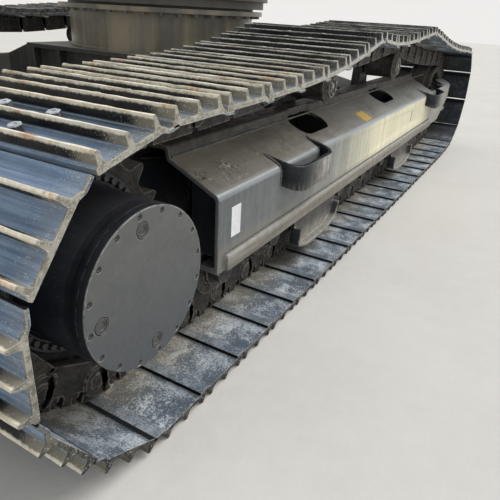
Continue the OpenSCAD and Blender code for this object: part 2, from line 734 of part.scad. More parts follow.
// Steps: a bent plate welded on the roof and the wall
module steps(side) {
    root_y = ridge_out + 120;
    out_y = frame_half_w + step_out;
    bend = [[0, root_y, 0], [step_l, root_y, 0], [step_l, out_y, step_bend_r], [0, out_y, step_bend_r]];
    color("#34322f") on_side(side) for (x = step_places) translate([sprocket_at + x, 0, 0]) difference() {
        intersection() {
            linear_extrude(frame_ridge_z) difference() {
                polygon(rounded(bend));
                polygon(rounded(inset(bend, step_t)));
                translate([step_t, root_y - 1]) square([step_l - 2 * step_t, step_t + 2]);
            }
            along(0, step_l) polygon([
                [root_y, step_top_z - step_h + step_drop], [frame_half_w, step_top_z - step_h + step_drop],
                [out_y, step_top_z - step_h], [out_y, step_top_z], [root_y, step_top_z + step_rise]
            ]);
        }
        along(-1, step_l + 2) polygon(rounded(frame_section));
    }
}

race_out_r = race_r + outer_race_t;
slew_r = race_out_r + slew_flange_out;
slew_bolt_r = race_r + slew_bolt_out;
gear_tip_r = race_r - inner_race_t;
wall_r = race_out_r - 72;
pedestal_in = gear_tip_r + 50;

// One leg, ahead of the middle and to the left, as tall as the carbody
module leg_block() {
    leg_in_x = carbody_half_l - 2 * leg_half_w;
    root_y = carbody_half_w - 60;
    face_y = carbody_half_w - 260;
    shoulder_y = carbody_half_w + 200;
    linear_extrude(carbody_top_z) polygon([
        [leg_in_x, root_y], [carbody_half_l - face_recess, face_y], [carbody_half_l, shoulder_y],
        [leg_x + leg_half_w, track_y - ridge_in], [leg_x - leg_half_w, track_y - ridge_in]
    ]);
}

// Box in the middle with four legs that slope down into the side frames
module carbody() {
    frame_in = track_y - frame_half_w;
    leg_low = frame_bottom_z + rub_bar_h + 10;
    leg_high = frame_wall_z + 60;
    half_l = leg_x + leg_half_w + 1;
    well_r = 150;
    pocket_y = 175;
    pocket_depth = 130;
    pocket_l = 220;
    pocket_h = 120;
    rib_y = 330;
    rib_t = 20;
    face_end = 560;
    face_h = carbody_top_z - top_plate_t;
    // columns: from y, to y
    face_spans = [[-face_end, -rib_y - rib_t / 2], [rib_t / 2 - rib_y, rib_y - rib_t / 2],
                  [rib_y + rib_t / 2, face_end]];
    color("#2e2d2c") difference() {
        intersection() {
            union() {
                translate([-carbody_half_l, -carbody_half_w, 0])
                    cube([2 * carbody_half_l, 2 * carbody_half_w, carbody_top_z]);
                for (a = [0, 1]) for (b = [0, 1]) mirror([a, 0, 0]) mirror([0, b, 0]) leg_block();
            }
            along(-half_l, 2 * half_l) polygon([
                [-track_y, leg_low], [-frame_in, leg_low], [-carbody_half_w, carbody_bottom_z],
                [carbody_half_w, carbody_bottom_z], [frame_in, leg_low], [track_y, leg_low],
                [track_y, leg_high], [frame_in, leg_high], [carbody_half_w, carbody_top_z],
                [-carbody_half_w, carbody_top_z], [-frame_in, leg_high], [-track_y, leg_high]
            ]);
        }
        for (side = ["left", "right"]) on_side(side)
            along(-half_l, 2 * half_l) polygon(rounded(frame_section));
        translate([0, 0, carbody_bottom_z - 1]) cylinder(h = carbody_top_z, r = well_r);
        // faces that stand back between the ribs, under the top plate
        for (a = [0, 1]) mirror([a, 0, 0])
            for (y = face_spans)
                translate([carbody_half_l - face_recess, y[0], 0]) cube([face_recess + 1, y[1] - y[0], face_h]);
        // hand holes in the front and rear faces, for the hoses
        for (a = [0, 1]) for (b = [0, 1]) mirror([a, 0, 0]) mirror([0, b, 0])
            along(carbody_half_l - pocket_depth, pocket_depth + 1)
                translate([pocket_y, (carbody_bottom_z + carbody_top_z) / 2]) oval(pocket_l, pocket_h);
    }
}

// The round wall under the slewing ring, between a foot ring and a bolted flange
module pedestal() {
    flange_t = 26;
    flange_r = race_out_r - 6;
    foot_t = 14;
    foot_r = wall_r + 12;
    color("#343332") difference() {
        union() {
            translate([0, 0, carbody_top_z]) cylinder(h = slew_z - carbody_top_z, r = wall_r, $fn = 96);
            translate([0, 0, carbody_top_z]) cylinder(h = foot_t, r = foot_r, $fn = 96);
            translate([0, 0, slew_z - flange_t]) cylinder(h = flange_t, r = flange_r, $fn = 96);
        }
        translate([0, 0, carbody_top_z - 1]) cylinder(h = slew_z, r = pedestal_in, $fn = 96);
    }
}

// Plate that closes the carbody's well from below
module belly_cover() {
    cover_l = 560;
    cover_w = 480;
    plate = 8;
    drain_r = 90;
    color("#2b2a29") translate([0, 0, carbody_bottom_z - plate - seat]) linear_extrude(plate) difference() {
        square([cover_l, cover_w], center = true);
        circle(r = drain_r);
    }
}

// Oil passage between the carbody and the upper works
module swivel_joint() {
    body_r = 88;
    flange_r = 180;
    flange_t = 24;
    foot_r = 110;
    foot_h = 60;
    top_gap = 75;
    color("#58544c") rotate_extrude() polygon([
        [0, carbody_bottom_z], [foot_r, carbody_bottom_z], [foot_r, carbody_bottom_z + foot_h],
        [body_r, carbody_bottom_z + foot_h], [body_r, carbody_top_z + seat], [flange_r, carbody_top_z + seat],
        [flange_r, carbody_top_z + flange_t], [body_r, carbody_top_z + flange_t],
        [body_r, slew_z - top_gap], [0, slew_z - top_gap]
    ]);
}

// Inner race: it stands on the pedestal, and the swing pinion runs in its teeth
module slew_ring_inner() {
    root = gear_tip_r + gear_tooth_h;
    step = 360 / gear_teeth;
    // columns: share of a tooth's angle, radius
    tooth = [[0.06, root], [0.34, gear_tip_r], [0.66, gear_tip_r], [0.94, root]];
    color("#4c4c4c") translate([0, 0, slew_z]) linear_extrude(race_h) difference() {
        circle(r = race_r - seat, $fn = 96);
        polygon([for (i = [0 : gear_teeth - 1]) for (t = tooth) on_circle(0, 0, t[1], (i + t[0]) * step)]);
    }
}

// Outer race: it turns, and carries the upper works on its bolts
module slew_ring_outer() {
    color("#4c4c4c") translate([0, 0, slew_z + race_step]) difference() {
        union() {
            cylinder(h = race_h, r = race_out_r, $fn = 96);
            translate([0, 0, race_h - slew_flange_t]) cylinder(h = slew_flange_t, r = slew_r, $fn = 96);
        }
        translate([0, 0, -1]) cylinder(h = race_h + 2, r = race_r, $fn = 96);
        for (i = [0 : slew_bolts - 1]) rotate([0, 0, (i + 0.5) * 360 / slew_bolts])
            translate([slew_bolt_r, 0, -1]) cylinder(h = race_h + 2, r = slew_hole_r, $fn = 24);
    }
}

carbody();
pedestal();
belly_cover();
swivel_joint();
slew_ring_inner();
slew_ring_outer();
side_frame("left");  // left_side_frame
track("left");  // left_track
sprocket("left");  // left_sprocket
final_drive("left");  // left_final_drive
drive_cover("left");  // left_drive_cover
travel_motor("left");  // left_travel_motor
motor_guard("left");  // left_motor_guard
idler("left");  // left_idler
idler_yoke("left");  // left_idler_yoke
track_adjuster("left");  // left_track_adjuster
carrier_rollers("left");  // left_carrier_rollers
carrier_brackets("left");  // left_carrier_brackets
track_rollers("left");  // left_track_rollers
track_guards("left");  // left_track_guards
steps("left");  // left_steps
side_frame("right");  // right_side_frame
track("right");  // right_track
sprocket("right");  // right_sprocket
final_drive("right");  // right_final_drive
drive_cover("right");  // right_drive_cover
travel_motor("right");  // right_travel_motor
motor_guard("right");  // right_motor_guard
idler("right");  // right_idler
idler_yoke("right");  // right_idler_yoke
track_adjuster("right");  // right_track_adjuster
carrier_rollers("right");  // right_carrier_rollers
carrier_brackets("right");  // right_carrier_brackets
track_rollers("right");  // right_track_rollers
track_guards("right");  // right_track_guards
steps("right");  // right_steps
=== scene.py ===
"""Crawler undercarriage of a large excavator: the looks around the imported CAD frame.

Metres, in the part's own frame: +X forward to the idlers, +Y left, +Z up, ground at Z 0.
"""
import json
import math
import random
from contextlib import contextmanager
from functools import partialmethod

import bpy
from mathutils import Matrix, Vector


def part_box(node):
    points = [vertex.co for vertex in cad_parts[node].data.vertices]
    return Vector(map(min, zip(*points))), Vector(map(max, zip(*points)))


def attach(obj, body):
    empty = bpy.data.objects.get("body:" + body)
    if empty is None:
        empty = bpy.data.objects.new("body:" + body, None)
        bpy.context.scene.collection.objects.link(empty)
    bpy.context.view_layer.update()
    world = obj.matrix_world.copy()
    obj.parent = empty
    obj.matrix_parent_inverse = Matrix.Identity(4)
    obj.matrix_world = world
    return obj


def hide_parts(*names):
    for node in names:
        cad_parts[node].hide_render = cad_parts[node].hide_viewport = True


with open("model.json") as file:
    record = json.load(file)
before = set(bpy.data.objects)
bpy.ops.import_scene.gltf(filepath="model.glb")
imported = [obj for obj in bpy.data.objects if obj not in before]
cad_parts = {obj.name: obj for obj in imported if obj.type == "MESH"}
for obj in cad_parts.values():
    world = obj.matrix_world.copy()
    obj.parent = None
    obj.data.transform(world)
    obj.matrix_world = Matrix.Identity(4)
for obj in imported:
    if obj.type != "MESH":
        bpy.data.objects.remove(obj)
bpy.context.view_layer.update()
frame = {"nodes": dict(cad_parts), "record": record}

# The chain and its shoes, as in the CAD source
PITCH = 0.216
SHOE_COUNT = 49
CHAIN_PHASE = 0.171
LINK_H = 0.129
PIN_H = 0.065
BUSHING_R = 0.033
SHOE_W = 0.7
PLATE_T = 0.013
GROUSER_H = 0.032
GROUSER_STEP = 0.084
GROUSER_TIP = 0.009
GROUSER_ROOT = 0.017
SPROCKET_TEETH = 19
IDLER_PIN_R = 0.34
FLAT_REAR_X = -0.13
FLAT_FRONT_GAP = 0.4
# columns: distance from the sprocket, height of the pin line, slope before it, slope after it
CARRIERS = [(1.51, 0.956, 0.3, -0.17), (2.65, 0.974, 0.05, -0.2)]
SPROCKET_LEAVE_SLOPE = 0.04
IDLER_MEET_SLOPE = -0.03
ARC_STEPS = 36
SPAN_STEPS = 16


def node_middle(node):
    low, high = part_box(node)
    return (low + high) / 2


SPROCKET = node_middle("right_final_drive")
IDLER = node_middle("right_idler")
TRACK_Y = node_middle("left_track").y
DRUM_R = 0.216
FRAME_REAR = SPROCKET.x + 0.42
FRAME_FRONT = IDLER.x - 0.62
STEP_PLACES = [SPROCKET.x + 0.853, SPROCKET.x + 3.343]
STEP_L = 0.39
GROUND_PIN_Z = PIN_H + PLATE_T + GROUSER_H
SPROCKET_TURN = 4 * math.pi / SPROCKET_TEETH
SPROCKET_PIN_R = PITCH / 2 / math.sin(SPROCKET_TURN / 2)
IDLER_TURN = 2 * math.asin(PITCH / 2 / IDLER_PIN_R)

# The side frame's section: how far out from the track's middle, or how high
WALL_IN = 0.2115
WALL_OUT = 0.225
RIDGE_OUT = 0.031
RIDGE_Z = 0.673
RUB_BAR_TOP = 0.3675


def on_circle(centre, radius, angle):
    return (centre.x + radius * math.cos(angle), centre.z + radius * math.sin(angle))


def tangent_angle(point, centre, radius, side):
    """The angle at which a line from the point touches the circle."""
    dx, dz = point[0] - centre.x, point[1] - centre.z
    return math.atan2(dz, dx) + side * math.acos(radius / math.hypot(dx, dz))


def hermite(start, end, slope_in, slope_out):
    run = end[0] - start[0]
    points = []
    for i in range(1, SPAN_STEPS + 1):
        t = i / SPAN_STEPS
        rise = start[1] * (1 - 3 * t**2 + 2 * t**3) + end[1] * (3 * t**2 - 2 * t**3)
        bend = slope_in * (t - 2 * t**2 + t**3) + slope_out * (t**3 - t**2)
        points.append((start[0] + run * t, rise + run * bend))
    return points


def pin_line():
    """The chain's closed pin line as (x, z, chain used up so far), clockwise as seen from the right."""
    sprocket_share = PITCH / (SPROCKET_PIN_R * SPROCKET_TURN)
    idler_share = PITCH / (IDLER_PIN_R * IDLER_TURN)
    flat_front = (IDLER.x - FLAT_FRONT_GAP, GROUND_PIN_Z)
    flat_rear = (SPROCKET.x + FLAT_REAR_X, GROUND_PIN_Z)
    first = tangent_angle(flat_rear, SPROCKET, SPROCKET_PIN_R, -1) + 2 * math.pi
    leave = math.pi / 2 + math.atan(SPROCKET_LEAVE_SLOPE)
    meet = math.pi / 2 + math.atan(IDLER_MEET_SLOPE)
    last = tangent_angle(flat_front, IDLER, IDLER_PIN_R, 1)
    line = [(*flat_front, 1.0), (*flat_rear, 1.0)]

    def wrap(centre, radius, start, end, share):
        for i in range(ARC_STEPS + 1):
            point = on_circle(centre, radius, start + (end - start) * i / ARC_STEPS)
            line.append((*point, share if i < ARC_STEPS else 1.0))

    wrap(SPROCKET, SPROCKET_PIN_R, first, leave, sprocket_share)
    slope = SPROCKET_LEAVE_SLOPE
    for x, z, before, after in CARRIERS:
        line += [(*point, 1.0) for point in hermite(line[-1][:2], (SPROCKET.x + x, z), slope, before)]
        slope = after
    top = on_circle(IDLER, IDLER_PIN_R, meet)
    line += [(*point, 1.0) for point in hermite(line[-1][:2], top, slope, IDLER_MEET_SLOPE)[:-1]]
    wrap(IDLER, IDLER_PIN_R, meet, last, idler_share)
    line.append((*flat_front, 1.0))
    used = 0.0
    measured = [(line[0][0], line[0][1], used)]
    for here, there in zip(line, line[1:]):
        used += here[2] * math.dist(here[:2], there[:2])
        measured.append((there[0], there[1], used))
    return measured


def pins():
    """Where each pin stands, as (x, z)."""
    line = pin_line()
    found = []
    for k in range(SHOE_COUNT):
        along = k * PITCH + CHAIN_PHASE
        after = next(i for i, point in enumerate(line) if point[2] >= along)
        low, high = line[after - 1], line[after]
        t = (along - low[2]) / (high[2] - low[2])
        found.append((low[0] + (high[0] - low[0]) * t, low[1] + (high[1] - low[1]) * t))
    return found


PINS = pins()


def link_matrix(k):
    """Places a right-hand link that is modelled along X, lip ahead, with Z outwards from the pin line."""
    here, there = PINS[k], PINS[(k + 1) % SHOE_COUNT]
    along = Vector((there[0] - here[0], 0, there[1] - here[1])).normalized()
    out = Vector((-along.z, 0, along.x))
    middle = Vector(((here[0] + there[0]) / 2, -TRACK_Y, (here[1] + there[1]) / 2))
    return Matrix.Translation(middle) @ Matrix((along, out.cross(along), out)).transposed().to_4x4()


# Modelling by hand: each helper is one step at the bench

def clear_selection():
    if bpy.context.object and bpy.context.object.mode != "OBJECT":
        bpy.ops.object.mode_set(mode="OBJECT")
    bpy.ops.object.select_all(action="DESELECT")


def placed(name, data):
    """A new object in the scene."""
    thing = bpy.data.objects.new(name, data)
    bpy.context.scene.collection.objects.link(thing)
    return thing


def activate(piece):
    clear_selection()
    piece.select_set(True)
    bpy.context.view_layer.objects.active = piece


def named(name):
    """Names the new piece and puts its place into its mesh."""
    piece = bpy.context.object
    piece.name = name
    activate(piece)
    bpy.ops.object.transform_apply(location=True, rotation=True, scale=True)
    return piece


@contextmanager
def editing(piece, kind="FACE", everything=True):
    activate(piece)
    bpy.ops.object.mode_set(mode="EDIT")
    bpy.ops.mesh.select_mode(type=kind)
    if everything:
        bpy.ops.mesh.select_all(action="SELECT")
    yield
    bpy.ops.object.mode_set(mode="OBJECT")


def pick(piece, test):
    """Selects only the faces that pass the test, for the next step in edit mode."""
    activate(piece)
    mesh = piece.data
    for group in (mesh.vertices, mesh.edges):
        group.foreach_set("select", [False] * len(group))
    for face in mesh.polygons:
        face.select = test(face.center, face.normal)


def block(name, low, high):
    low, high = Vector(low), Vector(high)
    clear_selection()
    bpy.ops.mesh.primitive_cube_add(size=1, location=(low + high) / 2, scale=high - low)
    return named(name)


def bar(name, start, end, radius, sides=24):
    """A round bar from start to end."""
    start, end = Vector(start), Vector(end)
    clear_selection()
    turn = Vector((0, 0, 1)).rotation_difference(end - start).to_euler()
    bpy.ops.mesh.primitive_cylinder_add(vertices=sides, radius=radius, depth=(end - start).length,
                                        location=(start + end) / 2, rotation=turn)
    return named(name)


def outline(name, points, filled=True):
    """A flat ring of corners, each set at its own place."""
    clear_selection()
    fill = "NGON" if filled else "NOTHING"
    bpy.ops.mesh.primitive_circle_add(vertices=len(points), radius=1, fill_type=fill)
    piece = bpy.context.object
    piece.name = name
    for corner, place in zip(piece.data.vertices, points):
        corner.co = place
    return piece


def smooth(piece, angle=35):
    activate(piece)
    bpy.ops.object.shade_smooth_by_angle(angle=math.radians(angle))
    return piece


def bevelled(piece, width, segments=2, angle=30):
    """Rounds the edges, and shades the piece smooth between them."""
    activate(piece)
    bevel = piece.modifiers.new("bevel", "BEVEL")
    bevel.width = width
    bevel.segments = segments
    bevel.limit_method = "ANGLE"
    bevel.angle_limit = math.radians(angle)
    bpy.ops.object.modifier_apply(modifier="bevel")
    return smooth(piece)


def outwards(piece, merge=0.00001):
    """Closes the piece and points its faces outwards."""
    with editing(piece):
        bpy.ops.mesh.remove_doubles(threshold=merge)
        bpy.ops.mesh.normals_make_consistent(inside=False)
    return piece


def extruded(piece, step, times=1):
    with editing(piece):
        for _ in range(times):
            bpy.ops.mesh.extrude_region_move(TRANSFORM_OT_translate={"value": tuple(Vector(step) / times)})
    return outwards(piece)


def spun(name, profile, centre, steps):
    """Turns a closed profile of radius and y about the cross axis through the centre."""
    piece = outline(name, [(centre.x + r, y, centre.z) for r, y in profile], filled=False)
    with editing(piece, "VERT"):
        bpy.ops.mesh.spin(steps=steps, angle=math.tau, center=(centre.x, 0, centre.z), axis=(0, 1, 0))
    return outwards(piece)


def ringed(piece, test, steps):
    """Insets the picked end faces and steps them in or out; columns of steps: inset, move."""
    pick(piece, test)
    with editing(piece, everything=False):
        for inset, move in steps:
            bpy.ops.mesh.inset(thickness=inset, depth=move)
    return piece


def cut(piece, tools):
    """Cuts the tools out of the piece."""
    tool = joined("cutter", tools)
    activate(piece)
    boolean = piece.modifiers.new("cut", "BOOLEAN")
    boolean.operation = "DIFFERENCE"
    boolean.solver = "EXACT"
    boolean.object = tool
    bpy.ops.object.modifier_apply(modifier="cut")
    removed(tool)


def copied(piece, *steps, name=None):
    """A copy with its own mesh, moved by the steps, the last one first."""
    twin = piece.copy()
    twin.data = piece.data.copy()
    bpy.context.scene.collection.objects.link(twin)
    matrix = Matrix.Identity(4)
    for step in steps:
        matrix = matrix @ step
    twin.data.transform(matrix)
    if name:
        twin.name = name
    return twin


def joined(name, pieces):
    clear_selection()
    for piece in pieces:
        piece.select_set(True)
    bpy.context.view_layer.objects.active = pieces[0]
    if len(pieces) > 1:
        bpy.ops.object.join()
    pieces[0].name = name
    pieces[0].data.name = name
    return pieces[0]


def removed(*pieces):
    for piece in pieces:
        bpy.data.objects.remove(piece)


def mirrored(piece):
    """The left-hand twin of a right-hand piece."""
    twin = copied(piece, Matrix.Diagonal((1, -1, 1, 1)), name=piece.name.replace("right_", "left_"))
    with editing(twin):
        bpy.ops.mesh.flip_normals()
    return twin


def dressed(piece, material, slot, *nodes):
    """Gives the piece its finish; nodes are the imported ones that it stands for."""
    piece.data.materials.clear()
    piece.data.materials.append(material)
    if nodes:
        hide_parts(*nodes)
    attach(piece, "undercarriage")


def pair(right, material, slot, *nodes):
    """Finishes a right-hand piece and makes its left-hand twin."""
    left = mirrored(right)
    dressed(right, material, slot, *("right_" + node for node in nodes))
    dressed(left, material, slot, *("left_" + node for node in nodes))


# Camera and light, as in the photograph's view

CAMERA_BEHIND_SPROCKET = 0.808
CAMERA_OUTSIDE_SHOES = 0.672
CAMERA_HEIGHT = 1.118
CAMERA_TURN = 28.9
CAMERA_DOWN = 25.98
CAMERA_ROLL = 3.22
FOCAL_SHARE = 0.9875
SENSOR = 36.0


def set_camera():
    turn, down, roll = (math.radians(a) for a in (CAMERA_TURN, CAMERA_DOWN, CAMERA_ROLL))
    ahead = Vector((math.cos(turn) * math.cos(down), math.sin(turn) * math.cos(down), -math.sin(down)))
    level_right = ahead.cross(Vector((0, 0, 1))).normalized()
    level_up = level_right.cross(ahead)
    right = level_right * math.cos(roll) + level_up * math.sin(roll)
    up = level_up * math.cos(roll) - level_right * math.sin(roll)
    place = Vector((SPROCKET.x - CAMERA_BEHIND_SPROCKET, -TRACK_Y - SHOE_W / 2 - CAMERA_OUTSIDE_SHOES,
                    CAMERA_HEIGHT))
    lens = bpy.data.cameras.new("photo_view")
    lens.sensor_width = SENSOR
    lens.lens = FOCAL_SHARE * SENSOR
    lens.clip_start = 0.02
    lens.clip_end = 100
    camera = placed("photo_view", lens)
    camera.matrix_world = Matrix.Translation(place) @ Matrix((right, up, -ahead)).transposed().to_4x4()
    bpy.context.scene.camera = camera


def set_light():
    world = bpy.data.worlds.new("pale_room")
    bpy.context.scene.world = world
    world.use_nodes = True
    s = Tree(world.node_tree)
    light = s.tree.nodes["Background"]
    s.feed(light, {"Color": (0.93, 0.96, 1.0), "Strength": 0.5})
    seen = s.add("Background", {"Color": (0.86, 0.85, 0.83), "Strength": 1.0})
    rays = s.add("LightPath").outputs
    shows_room = s.either(rays["Is Camera Ray"], s.either(rays["Is Glossy Ray"], rays["Is Transmission Ray"]))
    mix = s.add("MixShader", {"Fac": shows_room, 1: light.outputs[0], 2: seen.outputs[0]})
    s.feed(s.tree.nodes["World Output"], {"Surface": mix.outputs[0]})
    # columns: name, direction it comes from, strength, width of the sun in degrees
    for name, comes_from, strength, width in (
        ("key_light", (0.55, -0.55, 1.0), 2.2, 35),
        ("fill_light", (-0.25, -1.0, 0.35), 0.75, 80),
    ):
        sun = bpy.data.lights.new(name, "SUN")
        sun.energy = strength
        sun.angle = math.radians(width)
        placed(name, sun).rotation_euler = Vector(comes_from).to_track_quat("Z", "Y").to_euler()


def lay_floor(material):
    clear_selection()
    bpy.ops.mesh.primitive_plane_add(size=60, location=(0, 0, 0))
    floor = bpy.context.object
    floor.name = "floor"
    floor.data.materials.append(material)


# Colours and surfaces

class Tree:
    """A shader tree in the making: each step adds a node and gives what comes out of it."""

    def __init__(self, tree):
        self.tree = tree

    def feed(self, node, inputs):
        for key, value in inputs.items():
            socket = node.inputs[key]
            if isinstance(value, bpy.types.NodeSocket):
                self.tree.links.new(value, socket)
            elif socket.type == "RGBA":
                socket.default_value = (*value, 1)
            else:
                socket.default_value = value

    def add(self, kind, inputs=None, **settings):
        made = self.tree.nodes.new("ShaderNode" + kind)
        for setting, value in settings.items():
            setattr(made, setting, value)
        self.feed(made, inputs or {})
        return made

    def work(self, operation, first, second=0):
        return self.add("Math", {0: first, 1: second}, operation=operation).outputs[0]

    plus = partialmethod(work, "ADD")
    minus = partialmethod(work, "SUBTRACT")
    both = partialmethod(work, "MULTIPLY")
    either = partialmethod(work, "MAXIMUM")

    def tint(self, mask, low, high):
        """One colour over another by a mask."""
        return self.add("Mix", {0: mask, 6: low, 7: high}, data_type="RGBA").outputs[2]

    def coats(self, colour, *coats):
        """Colours laid one over another; columns of coats: mask, share of it, colour."""
        for mask, share, coat in coats:
            colour = self.tint(mask if share == 1 else self.both(mask, share), colour, coat)
        return colour

    def level(self, mask, low, high):
        return self.add("Mix", {0: mask, 2: low, 3: high}).outputs[0]

    def ramp(self, value, start, end, low=0, high=1):
        return self.add("MapRange", {"Value": value, "From Min": start, "From Max": end, "To Min": low,
                                     "To Max": high}, interpolation_type="SMOOTHSTEP").outputs["Result"]

    def within(self, value, low, high, soft):
        """1 where the value is between low and high."""
        return self.both(self.ramp(value, low - soft, low + soft), self.ramp(value, high + soft, high - soft))

    def grain(self, scale, detail=4, roughness=0.55, twist=0):
        return self.add("TexNoise", {"Vector": self.place, "Scale": scale, "Detail": detail,
                                     "Roughness": roughness, "Distortion": twist}).outputs[0]

    def vector(self, operation, first, second=(0, 0, 0), gives="Vector"):
        return self.add("VectorMath", {0: first, 1: second}, operation=operation).outputs[gives]

    def facing(self):
        return self.add("NewGeometry").outputs["Normal"]

    def axes(self, vector):
        return self.add("SeparateXYZ", {0: vector}).outputs


class Effect(Tree):
    """An effect that several finishes share, as a node group; takes has its inputs' usual values."""

    def __init__(self, name, takes, gives):
        super().__init__(bpy.data.node_groups.new(name, "ShaderNodeTree"))
        for label, value in {"Place": None, **takes}.items():
            kind = "NodeSocketVector" if value is None else "NodeSocketFloat"
            socket = self.tree.interface.new_socket(label, in_out="INPUT", socket_type=kind)
            if value is not None:
                socket.default_value = value
        for label in gives:
            kind = "NodeSocketVector" if label == "Normal" else "NodeSocketFloat"
            self.tree.interface.new_socket(label, in_out="OUTPUT", socket_type=kind)
        self.takes = self.tree.nodes.new("NodeGroupInput").outputs
        self.gives = self.tree.nodes.new("NodeGroupOutput")
        self.place = self.takes["Place"]

    def done(self, **results):
        self.feed(self.gives, results)
        return self.tree


def make_patches():
    """Soft-edged patches, as of dust, damp or faded paint."""
    e = Effect("patches", {"Scale": 8, "Low": 0.42, "High": 0.6}, ["Mask"])
    return e.done(Mask=e.ramp(e.grain(e.takes["Scale"], 6, 0.62, 0.4), e.takes["Low"], e.takes["High"]))


def make_streaks():
    """Long thin runs: Stretch is the number of them in a metre along each axis."""
    e = Effect("streaks", {"Stretch": None, "Low": 0.4, "High": 0.65}, ["Mask"])
    e.place = e.vector("MULTIPLY", e.place, e.takes["Stretch"])
    return e.done(Mask=e.ramp(e.grain(1, 5, 0.6), e.takes["Low"], e.takes["High"]))


def make_rubbed_edges():
    """Edges where the paint has gone, broken up by the place, and the rounded normal of the edge."""
    e = Effect("rubbed_edges", {"Width": 0.004}, ["Mask", "Normal"])
    rounded = e.add("Bevel", {"Radius": e.takes["Width"]}, samples=6).outputs["Normal"]
    edge = e.ramp(e.vector("DISTANCE", rounded, e.facing(), gives="Value"), 0.12, 0.45)
    return e.done(Mask=e.both(edge, e.ramp(e.grain(55, 5), 0.36, 0.56)), Normal=rounded)


def make_settled_dust():
    """Dust that lies on what faces up, thicker in patches."""
    e = Effect("settled_dust", {"Scale": 9}, ["Mask"])
    upwards = e.ramp(e.axes(e.facing())["Z"], 0.15, 0.9)
    return e.done(Mask=e.both(upwards, e.ramp(e.grain(e.takes["Scale"], 7, 0.65), 0.3, 0.62, 0.45, 1)))


def make_grit():
    """Small pale specks, and the height of a sandy surface."""
    e = Effect("grit", {"Scale": 260, "Few": 0.7}, ["Specks", "Height"])
    cells = e.add("TexVoronoi", {"Vector": e.place, "Scale": e.takes["Scale"], "Randomness": 1}).outputs
    dot = e.ramp(cells["Distance"], 0.34, 0.16)
    chosen = e.add("SeparateColor", {0: cells["Color"]}).outputs[0]
    rare = e.work("GREATER_THAN", chosen, e.takes["Few"])
    return e.done(Specks=e.both(dot, rare), Height=e.grain(e.takes["Scale"], 4, 0.7))


def make_caked_mud():
    """Dried mud: pale crumbs that gather in clouds a hand across, and their height."""
    e = Effect("caked_mud", {"Scale": 22}, ["Mask", "Height"])
    cloud = e.grain(e.takes["Scale"], 5, 0.6, 0.3)
    crumbs = e.grain(e.both(e.takes["Scale"], 14), 7, 0.72, 0.6)
    blend = e.plus(crumbs, e.both(e.minus(cloud, 0.5), 0.75))
    return e.done(Mask=e.ramp(blend, 0.44, 0.62), Height=e.plus(blend, e.both(crumbs, 0.6)))


PATCHES = make_patches()
STREAKS = make_streaks()
RUBBED_EDGES = make_rubbed_edges()
SETTLED_DUST = make_settled_dust()
GRIT = make_grit()
CAKED_MUD = make_caked_mud()


class Finish(Tree):
    """A material in the making, with the shared effects laid out by the place on the object."""

    def __init__(self, name, specular=None):
        self.normal = None
        self.material = bpy.data.materials.new(name)
        self.material.use_nodes = True
        super().__init__(self.material.node_tree)
        self.shader = self.tree.nodes["Principled BSDF"]
        self.place = self.add("TexCoord").outputs["Object"]
        if specular is not None:
            self.shader.inputs["Specular IOR Level"].default_value = specular

    def use(self, group, **inputs):
        made = self.tree.nodes.new("ShaderNodeGroup")
        made.node_tree = group
        self.feed(made, {"Place": self.place, **inputs})
        return made.outputs

    def patches(self, scale, low, high):
        return self.use(PATCHES, Scale=scale, Low=low, High=high)["Mask"]

    def streaks(self, stretch, low, high):
        return self.use(STREAKS, Stretch=stretch, Low=low, High=high)["Mask"]

    def dust(self, scale):
        return self.use(SETTLED_DUST, Scale=scale)["Mask"]

    def weather(self, grains, few, edge=None):
        """Gives it sand with pale specks, and rubbed edges where they have a width."""
        grit = self.use(GRIT, Scale=grains, Few=few)
        self.specks, self.sand = grit["Specks"], grit["Height"]
        if edge:
            rubbed = self.use(RUBBED_EDGES, Width=edge)
            self.rubbed, self.normal = rubbed["Mask"], rubbed["Normal"]

    def done(self, colour, roughness, relief, depth, strength, sand=0):
        """Leads the worked-out colour, roughness and bump to the shader's own sockets."""
        if sand:
            relief = self.plus(self.both(self.sand, sand), relief)
        bump = self.add("Bump", {"Height": relief, "Distance": depth, "Strength": strength})
        if self.normal:
            self.feed(bump, {"Normal": self.normal})
        self.feed(self.shader, {"Base Color": colour, "Roughness": roughness, "Normal": bump.outputs[0]})
        return self.material


def worked_paint(name, base, dusty, rub=(0.2, 0.18, 0.15), gloss=(0.42, 0.62), runs=(90, 90, 5),
                 edge=0.004, dust_share=0.55, patch_share=0.5, run_share=0.5, speck_share=0.35, depth=0.0012):
    """Painted or cast steel that has worked outdoors: patches, runs, dust on top, specks and rubbed edges."""
    s = Finish(name)
    streak = s.streaks(runs, 0.4, 0.65)
    dust = s.dust(12)
    s.weather(190, 0.72, edge)
    colour = s.coats(
        base,
        (s.patches(7, 0.42, 0.6), patch_share, [c * 0.55 for c in base]),
        (streak, run_share, [b + (d - b) * 0.45 for b, d in zip(base, dusty)]),
        (dust, dust_share, dusty),
        (s.specks, speck_share, [min(1, d * 1.5) for d in dusty]),
        (s.rubbed, 0.8, rub),
    )
    rough = s.level(s.either(dust, s.both(streak, 0.5)), *gloss)
    return s.done(colour, rough, s.grain(40, 6), depth, 0.6, sand=0.5)


